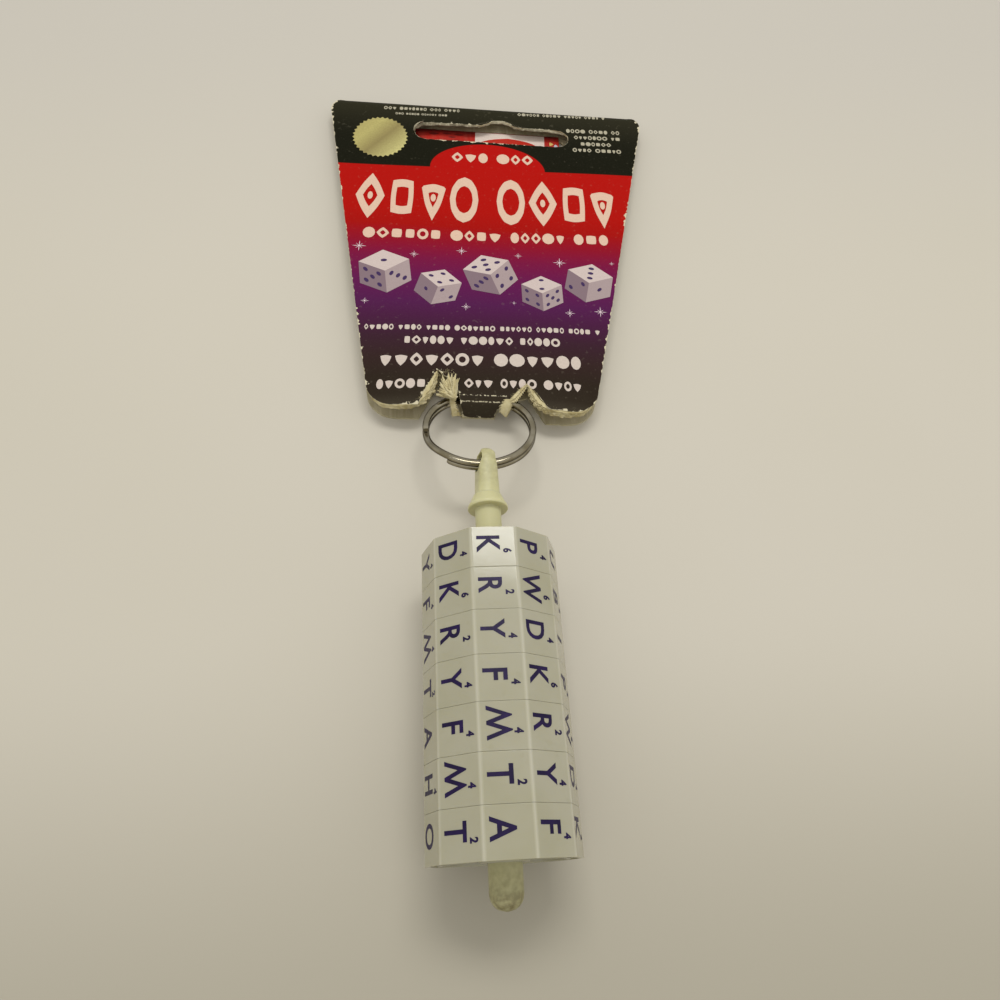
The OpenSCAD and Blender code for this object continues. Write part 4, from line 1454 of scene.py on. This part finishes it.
def seal_material():
    net = Finish("seal_gold", Metallic=0.15, IOR=1.5, Specular_IOR_Level=0.3)
    across, up = list(net.node("SeparateXYZ", {0: net.sheet("sheet")}))[:2]
    slanted = net.calc("ADD", across, net.calc("MULTIPLY", up, -0.8))
    stops = (
        (0.0, tone(176, 164, 98)), (0.25, tone(184, 174, 104)),
        (0.55, tone(142, 128, 74)), (1.0, tone(206, 199, 128)),
    )
    gold = net.ramp(net.span(slanted, -1.3, 1.3), *stops)
    smudge, grain, _ = net.handled(300, 2400)
    grainy = net.mix(net.span(grain, 0.3, 0.8, 0.0, 0.35), gold, tone(110, 98, 50))
    return net.done(grainy, net.gloss(smudge, 0.34, 0.5))


seal_turn = circle(SEAL_TEETH * 6)
tooth_phase = (seal_turn * SEAL_TEETH / (2 * math.pi)) % 1
tooth = 1 - SEAL_TOOTH * np.abs(2 * tooth_phase - 1) ** 0.8
seal_share, seal_raise = np.array(SEAL_RINGS).T[..., None]
seal_radius = np.where(seal_share > 0.95, tooth, seal_share)
seal_flat = stacked(seal_radius * np.cos(seal_turn), seal_radius * np.sin(seal_turn))
seal_points = front_point(*(SEAL_CENTRE + SEAL_HALF * seal_flat).T, PRINT_LIFT + seal_raise.T)
seal = make_piece(
    "gold_seal",
    seal_points.transpose(1, 0, 2).reshape(-1, 3),
    grid_faces(len(SEAL_RINGS), len(seal_turn), False, True),
    seal_material(),
)
add_map(seal, "sheet", seal_flat.reshape(-1, 2))
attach(seal, "hang_tag")

# %% [markdown]
# ## Torn board at the ring
# The ring has torn the card, and the tear shows the board's pale plies. Each ply is a ribbon
# along the tear: a path, a ragged width and a slight curl. A tuft of fibres stands where the
# card gave way. Ribbons get their thickness from Solidify.

# %% Torn plies
PLY_PITCH, PLY_THICKNESS = 0.15, 0.13
FIRST_PLY_SHARE, PLY_UNCURL, STREAK_HEIGHT = 0.55, 0.12, 0.07


def along(path, t):
    """Points at the shares t of a path, smoothed."""
    path = np.asarray(path, float)
    keys = np.linspace(0, 1, len(path))
    line = stacked(*(np.interp(t, keys, way) for way in path.T))
    for _ in range(len(t) // 12):
        line[1:-1] = (line[:-2] + 2 * line[1:-1] + line[2:]) / 4
    return line


def ribbon(path, widths, aims, curl, seed, rows, across=7, rag=0.2):
    """Point(t, q) = path(t) + aim(t) * width(t) * q, raised by curl * q squared. The far
    edge is ragged: its width is multiplied by 1 + rag * noise."""
    t = np.linspace(0, 1, rows)
    line, aim = along(path, t), along(aims, t)
    width = np.interp(t, np.linspace(0, 1, len(widths)), widths)
    ragged = width * (1 + rag * wave_noise(t * 60, seed, 6, 1.3))
    q = np.linspace(0, 1, across)
    points = line[:, None, :] + aim[:, None, :] * (ragged[:, None] * q)[..., None]
    streak = wave_noise(t * 22, seed + 5, 4)[:, None] * np.sin(q * 9 + seed)[None, :]
    points[..., 2] += curl * (q**2)[None, :] + STREAK_HEIGHT * streak * q
    return points.reshape(-1, 3), grid_faces(rows, across)


def plies(path, widths, aims, curl, seed, layers=4, **shape):
    """A pack of ribbons, each lower and wider than the one above it."""
    made = []
    for layer in range(layers):
        lower = [(u, v, z - PLY_PITCH * layer) for u, v, z in path]
        share = FIRST_PLY_SHARE + (1 - FIRST_PLY_SHARE) * layer / max(layers - 1, 1)
        wider, bent = [w * share for w in widths], curl - PLY_UNCURL * layer
        made.append(ribbon(lower, wider, aims, bent, seed + layer, **shape))
    return made


def on_leaf(points):
    """Torn paper is drawn as (u, v, height above the printed face)."""
    u, v, z = points.T
    return place_on_tag(u, v, leaf_height(u, np.maximum(v, 0)) + z)


def thicken(piece, name, thickness):
    solid = piece.modifiers.new(name, "SOLIDIFY")
    solid.thickness, solid.offset = thickness * MM, 0


def torn_piece(name, ribbons, material=TORN_PAPER, thickness=PLY_THICKNESS):
    """Joins ribbons, puts them on the tag and gives them a ply's thickness."""
    points, faces = joined(ribbons)
    piece = make_piece(name, on_leaf(points), faces, material)
    thicken(piece, "ply", thickness)
    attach(piece, "hang_tag")


# %% Torn edges along the leaf's bottom
LEFT_TEAR = [
    (-25.6, 2.2, -0.15), (-23.2, 0.5, -0.15), (-19.6, 0.1, -0.15), (-16.6, 0.3, -0.1),
    (-14.6, 1.9, -0.05), (-13.2, 5.0, -0.05), (-11.1, 9.5, -0.05),
]
LEFT_AIMS = [
    (-0.2, -0.9, -0.2), (-0.1, -1.0, -0.25), (0.0, -1.0, -0.3), (0.2, -1.0, -0.3),
    (0.8, -0.6, -0.2), (0.95, -0.3, -0.1), (1.0, -0.2, 0.0),
]
LEFT_WIDTHS = [0.05, 0.5, 0.7, 0.8, 1.6, 2.1, 0.5]
RIGHT_TEAR = [
    (10.5, 6.5, 0.0), (11.8, 4.6, 0.0), (13.4, 2.2, -0.05), (15.4, 0.6, -0.1),
    (19.5, 0.05, -0.15), (23.2, 0.5, -0.15), (25.6, 2.2, -0.1),
]
RIGHT_AIMS = [
    (-0.6, -0.8, -0.1), (-0.8, -0.6, -0.1), (-0.7, -0.75, -0.2), (-0.3, -0.95, -0.25),
    (0.0, -1.0, -0.25), (0.1, -1.0, -0.25), (0.2, -0.9, -0.2),
]
RIGHT_WIDTHS = [0.4, 1.4, 1.7, 1.5, 1.2, 0.8, 0.05]
torn_piece("torn_plies_left", plies(LEFT_TEAR, LEFT_WIDTHS, LEFT_AIMS, 0.1, 61, rows=170))
torn_piece("torn_plies_right", plies(RIGHT_TEAR, RIGHT_WIDTHS, RIGHT_AIMS, 0.1, 65, rows=170))

# %% Flaps and strips beside the tongue
FLAP_TEAR = [(10.2, 6.7, 0.12), (8.4, 4.8, 0.3), (7.0, 3.0, 0.25), (6.2, 2.0, 0.0)]
FLAP_AIMS = [(0.5, -0.9, 0.0), (0.4, -0.9, 0.0), (0.4, -0.9, -0.1), (0.3, -0.9, -0.3)]
FLAP_WIDTHS = [0.5, 1.5, 1.7, 0.8]
RIGHT_SHRED = [(7.0, 2.2, 0.0), (6.8, 1.0, -0.8), (6.3, -0.1, -1.9), (5.6, -0.9, -3.0)]
LEFT_SHRED = [(-7.9, 2.8, 0.2), (-7.7, 1.2, -0.4), (-7.3, -0.3, -1.7), (-7.0, -1.3, -2.9)]
ROUGH = {"rag": 0.3}
flap = plies(FLAP_TEAR, FLAP_WIDTHS, FLAP_AIMS, 0.15, 71, layers=2, rows=70, **ROUGH)
shred = ribbon(RIGHT_SHRED, [2.0, 2.7, 2.3, 0.4], [(-1, -0.15, 0)] * 2, 0.2, 74, 60, **ROUGH)
torn_piece("torn_flap_right", [*flap, shred])
strip = ribbon(LEFT_SHRED, [1.5, 1.2, 1.5, 2.0], [(1, 0.05, 0)] * 2, 0.2, 75, 60, **ROUGH)
torn_piece("torn_strip_left", [strip])

# %% Frayed rim of the hang slot
SLOT_RIM = [
    (-20.8, 98.9, -0.05), (-18.9, 100.9, -0.05), (-10.0, 101.1, -0.05),
    (-4.0, 101.2, -0.05), (-1.2, 102.2, -0.05), (1.6, 103.6, -0.05), (5.4, 103.6, -0.05),
    (8.4, 101.9, -0.05), (11.0, 101.1, -0.05), (18.5, 101.0, -0.05), (22.6, 99.7, -0.05),
]
RIM_WIDTHS = [0.6, 0.7, 0.5, 0.6, 0.9, 0.7, 0.7, 0.9, 0.6, 0.5, 0.2]
SLOT_END = [(-21.4, 96.8, 0.05), (-21.2, 98.4, 0.45), (-20.3, 99.8, 0.5), (-18.8, 100.7, 0.15)]
rim = ribbon(SLOT_RIM, RIM_WIDTHS, [(0.1, -1.0, -0.3)] * 2, -0.25, 77, 200, **ROUGH)
curled = ribbon(SLOT_END, [0.4, 0.9, 0.8, 0.2], [(0.8, -0.3, 0.1)] * 2, 0.35, 78, 60, **ROUGH)
torn_piece("slot_frayed_ply", [rim, curled], SLOT_FRAY)

# %% [markdown]
# ## Fibre tuft
# Left of the tongue a flap of card has come apart into a fan of soft shreds. Each shred is a
# ribbon that widens away from a common root and rises in an arc. Fine hairs stand at all torn
# edges: each is a three-sided tapering tube along a bent line, and all are computed at once.

# %% Tuft
TUFT_ROOT = (-6.2, 1.6)
TUFT_SHREDS, TUFT_SEED, TUFT_THICKNESS = 34, 79, 0.16
HAIR_STEPS, HAIR_THICKNESS, HAIR_BEND, HAIR_TAPER = 6, 0.03, 0.35, 0.85
HAIR_SCATTER, SHORTEST_HAIR = 0.18, 0.4


def tuft_shreds():
    """Shreds at even angles, whose length, bend, rise and width are drawn at random."""
    rng = np.random.default_rng(TUFT_SEED)
    made = []
    for number, angle in enumerate(np.radians(np.linspace(84, 172, TUFT_SHREDS))):
        reach = 6.6 - 2.4 * math.sin(2.0 * (angle - 1.9)) ** 2 + rng.uniform(-1.6, 1.0)
        way = np.array([math.cos(angle), math.sin(angle)])
        far = np.array(TUFT_ROOT) + way * reach
        mid = np.array(TUFT_ROOT) + way * reach * 0.5 + rng.uniform(-0.3, 0.3, 2)
        rise = rng.uniform(0.7, 1.4)
        path = [(*TUFT_ROOT, 0.1), (*mid, rise), (*far, rise * rng.uniform(0.2, 1.1))]
        aims = [(-way[1], way[0], 0.1), (-way[1], way[0], rng.uniform(-0.4, 0.5))]
        widths = [0.3, rng.uniform(0.4, 0.7), rng.uniform(0.4, 0.8), 0.1]
        curl, seed = rng.uniform(-0.5, 0.6), TUFT_SEED + 1 + number
        made.append(ribbon(path, widths, aims, curl, seed, 36, 5, rag=0.5))
    return made


torn_piece("torn_tuft", tuft_shreds(), thickness=TUFT_THICKNESS)


def hairs(roots, aims, lengths, seed):
    """Point(h, i, k): root + aim * length * i, bent by a seeded sideways curve that grows
    with i squared, with three corners k whose distance shrinks towards the end."""
    rng = np.random.default_rng(seed)
    i = np.linspace(0, 1, HAIR_STEPS)
    side = rng.normal(size=aims.shape)
    side -= (side * aims).sum(1, keepdims=True) * aims
    side /= np.linalg.norm(side, axis=1, keepdims=True)
    other = np.cross(aims, side)
    line = roots[:, None] + aims[:, None] * (lengths[:, None] * i)[..., None]
    line += side[:, None] * (lengths[:, None] * HAIR_BEND * i**2)[..., None]
    k = np.arange(3) * 2 * math.pi / 3
    spoke = side[:, None] * np.cos(k)[:, None] + other[:, None] * np.sin(k)[:, None]
    taper = HAIR_THICKNESS * (1 - HAIR_TAPER * i)
    points = line[:, :, None, :] + spoke[:, None] * taper[:, None, None]
    tube = grid_faces(HAIR_STEPS, 3, False, True)
    start = (np.arange(len(aims)) * HAIR_STEPS * 3)[:, None, None]
    return points.reshape(-1, 3), (tube[None] + start).reshape(-1, 4).tolist()


def edge_hairs(path, count, aim, spread, length, seed):
    """Hairs that stand along a torn edge."""
    rng = np.random.default_rng(seed)
    roots = along(path, np.sort(rng.uniform(0, 1, count)))
    roots = roots + rng.normal(scale=HAIR_SCATTER, size=roots.shape)
    aims = np.asarray(aim) + rng.normal(scale=spread, size=(count, 3))
    aims /= np.linalg.norm(aims, axis=1, keepdims=True)
    lengths = rng.uniform(SHORTEST_HAIR, 1.0, count) * length
    return hairs(roots, aims, lengths, seed + 1)


TUFT_RIM = [(-5.8, 7.6, 1.3), (-8.2, 8.6, 1.3), (-10.2, 7.2, 1.2), (-11.0, 4.4, 1.0)]
HAIR_ROWS = (
    (LEFT_TEAR[3:], 60, (0.7, -0.5, 0.2), 0.5, 0.8, 91),
    (RIGHT_TEAR, 130, (-0.1, -0.9, 0.1), 0.5, 0.8, 93),
    (TUFT_RIM, 36, (-0.4, 0.6, 0.5), 0.4, 0.9, 95),
    (FLAP_TEAR, 60, (-0.2, -0.6, 0.5), 0.6, 0.9, 97),
    (RIGHT_SHRED, 60, (-0.7, -0.6, -0.2), 0.5, 0.9, 99),
    (LEFT_SHRED, 50, (0.2, -0.6, -0.3), 0.5, 0.8, 101),
)
hair_points, hair_faces = joined([edge_hairs(*row) for row in HAIR_ROWS])
edge_fibres = make_piece("torn_fibres", on_leaf(hair_points), hair_faces, TORN_PAPER)
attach(edge_fibres, "hang_tag")

# %% [markdown]
# ## The folded slip
# A printed slip lies between the leaves, and its end shows through the hang slot. It is thin
# paper folded over and over: the section is one line that runs to and fro, with a small
# round turn at each side, carried up the tag.

# %% Slip
SLIP_LOW, SLIP_HIGH = 14.0, 102.125
SLIP_HALF, SLIP_Z = 21.6, 0.7
SLIP_LAYERS, SLIP_PITCH, SLIP_SHEET = 4, 0.098, 0.07
SLIP_TOP_Z = SLIP_Z + (SLIP_LAYERS - 1) / 2 * SLIP_PITCH + SLIP_SHEET / 2


def slip_section(steps=26):
    """To-and-fro line: layer n runs left or right at its height, then turns half a circle."""
    lines, half = [], SLIP_PITCH / 2
    inner = SLIP_HALF - SLIP_PITCH
    turn = np.radians(np.linspace(-90, 90, 7)[1:-1])
    for layer in range(SLIP_LAYERS):
        height = SLIP_Z + (layer - (SLIP_LAYERS - 1) / 2) * SLIP_PITCH
        way = 1 if layer % 2 == 0 else -1
        lines.append(stacked(np.linspace(-inner, inner, steps) * way, height))
        round_turn = inner + half * np.cos(turn), height + half * (1 + np.sin(turn))
        lines.append(stacked(way * round_turn[0], round_turn[1]))
    return np.concatenate(lines[:-1])


section_u, section_z = slip_section().T
slip_v = np.linspace(SLIP_LOW, SLIP_HIGH, 40)[:, None]
slip_points = place_on_tag(section_u, slip_v, section_z).reshape(-1, 3)
slip_faces = grid_faces(len(slip_v), len(section_u))[:, ::-1]
slip = make_piece("folded_slip", slip_points, slip_faces, SLIP_PAPER)
thicken(slip, "sheet", SLIP_SHEET)
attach(slip, "instruction_slip")
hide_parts("instruction_slip")

patch = leaning_face([(-3.4, 92.9), (17.2, 92.9), (17.2, 101.9), (-3.4, 101.9)])
PATCH_TONE, SLIP_LINE = (226, 210, 198), (112, 22, 18)
SLIP_LIFT = 0.012
slip_figures = [(patch, PATCH_TONE, SLIP_LIFT)]
slip_figures += [
    (figure(u, v, w, h, (corners, 0.0), 0.0, soft), colour, 2 * SLIP_LIFT)
    for u, v, w, h, corners, soft, colour in (
        (6.4, 97.6, 8.2, 2.4, 4, 0.6, (190, 36, 16)),
        (-8.2, 100.4, 1.5, 0.45, 4, 0.5, SLIP_LINE),
        (-11.8, 100.6, 1.4, 0.4, 4, 0.5, SLIP_LINE),
        (-15.6, 100.3, 1.6, 0.5, 4, 0.5, SLIP_LINE),
        (-10.2, 99.2, 1.2, 0.35, 4, 0.5, SLIP_LINE),
        (19.2, 98.8, 0.8, 1.0, 3, 0.2, (222, 190, 110)),
        (20.6, 98.0, 0.6, 0.8, 4, 0.2, (196, 196, 206)),
    )
]


def slip_point(u, v, lift):
    return place_on_tag(u, v, SLIP_TOP_Z + lift)


slip_print = bake(slip_figures, slip_point, "slip_figures", "instruction_slip")

# %% [markdown]
# ## Finishes on the carried-over pieces
# The caps and the magnets already have their true shapes, so they only take a material.

# %% CAD materials
for number in range(1, WHEEL_COUNT + 1):
    for part, material in (("cap", CAP_PLASTIC), ("magnet", MAGNET)):
        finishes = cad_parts[f"wheel_{number}_{part}"].data.materials
        finishes.clear()
        finishes.append(material)

# %% [markdown]
# ## The table
# A plain pale table top, a little mottled, with painted shade that darkens it towards the
# near and the far side. It is a stage, not part of the object.

# %% Table
TABLE_TONES = tone(203, 197, 183), tone(200, 194, 178)
# Painted shade towards the near and the far side of the table.
TABLE_NEAR_SHADE, TABLE_FAR_SHADE = tone(172, 166, 149), tone(193, 188, 177)
TABLE_HALF, TABLE_TOP = 1500, -0.02

net = Finish("table", IOR=1.4, Roughness=0.6)
mottle = net.span(net.handled(6, 900)["Smudge"], 0.3, 0.7)
up_table = net.node("SeparateXYZ", {0: net.place()})["Y"]
# Painted shade: the table darkens towards the near and the far side.
near = net.span(up_table, 0.02, -0.06, smooth=True)
far = net.span(up_table, 0.09, 0.24, smooth=True)
shaded = net.mix(near, net.mix(mottle, *TABLE_TONES), TABLE_NEAR_SHADE)
table_material = net.done(net.mix(far, shaded, TABLE_FAR_SHADE))
around = ((-1, -1), (1, -1), (1, 1), (-1, 1))
corners = [(x * TABLE_HALF, y * TABLE_HALF, TABLE_TOP) for x, y in around]
table = make_piece("table", corners, [(0, 1, 2, 3)], table_material)
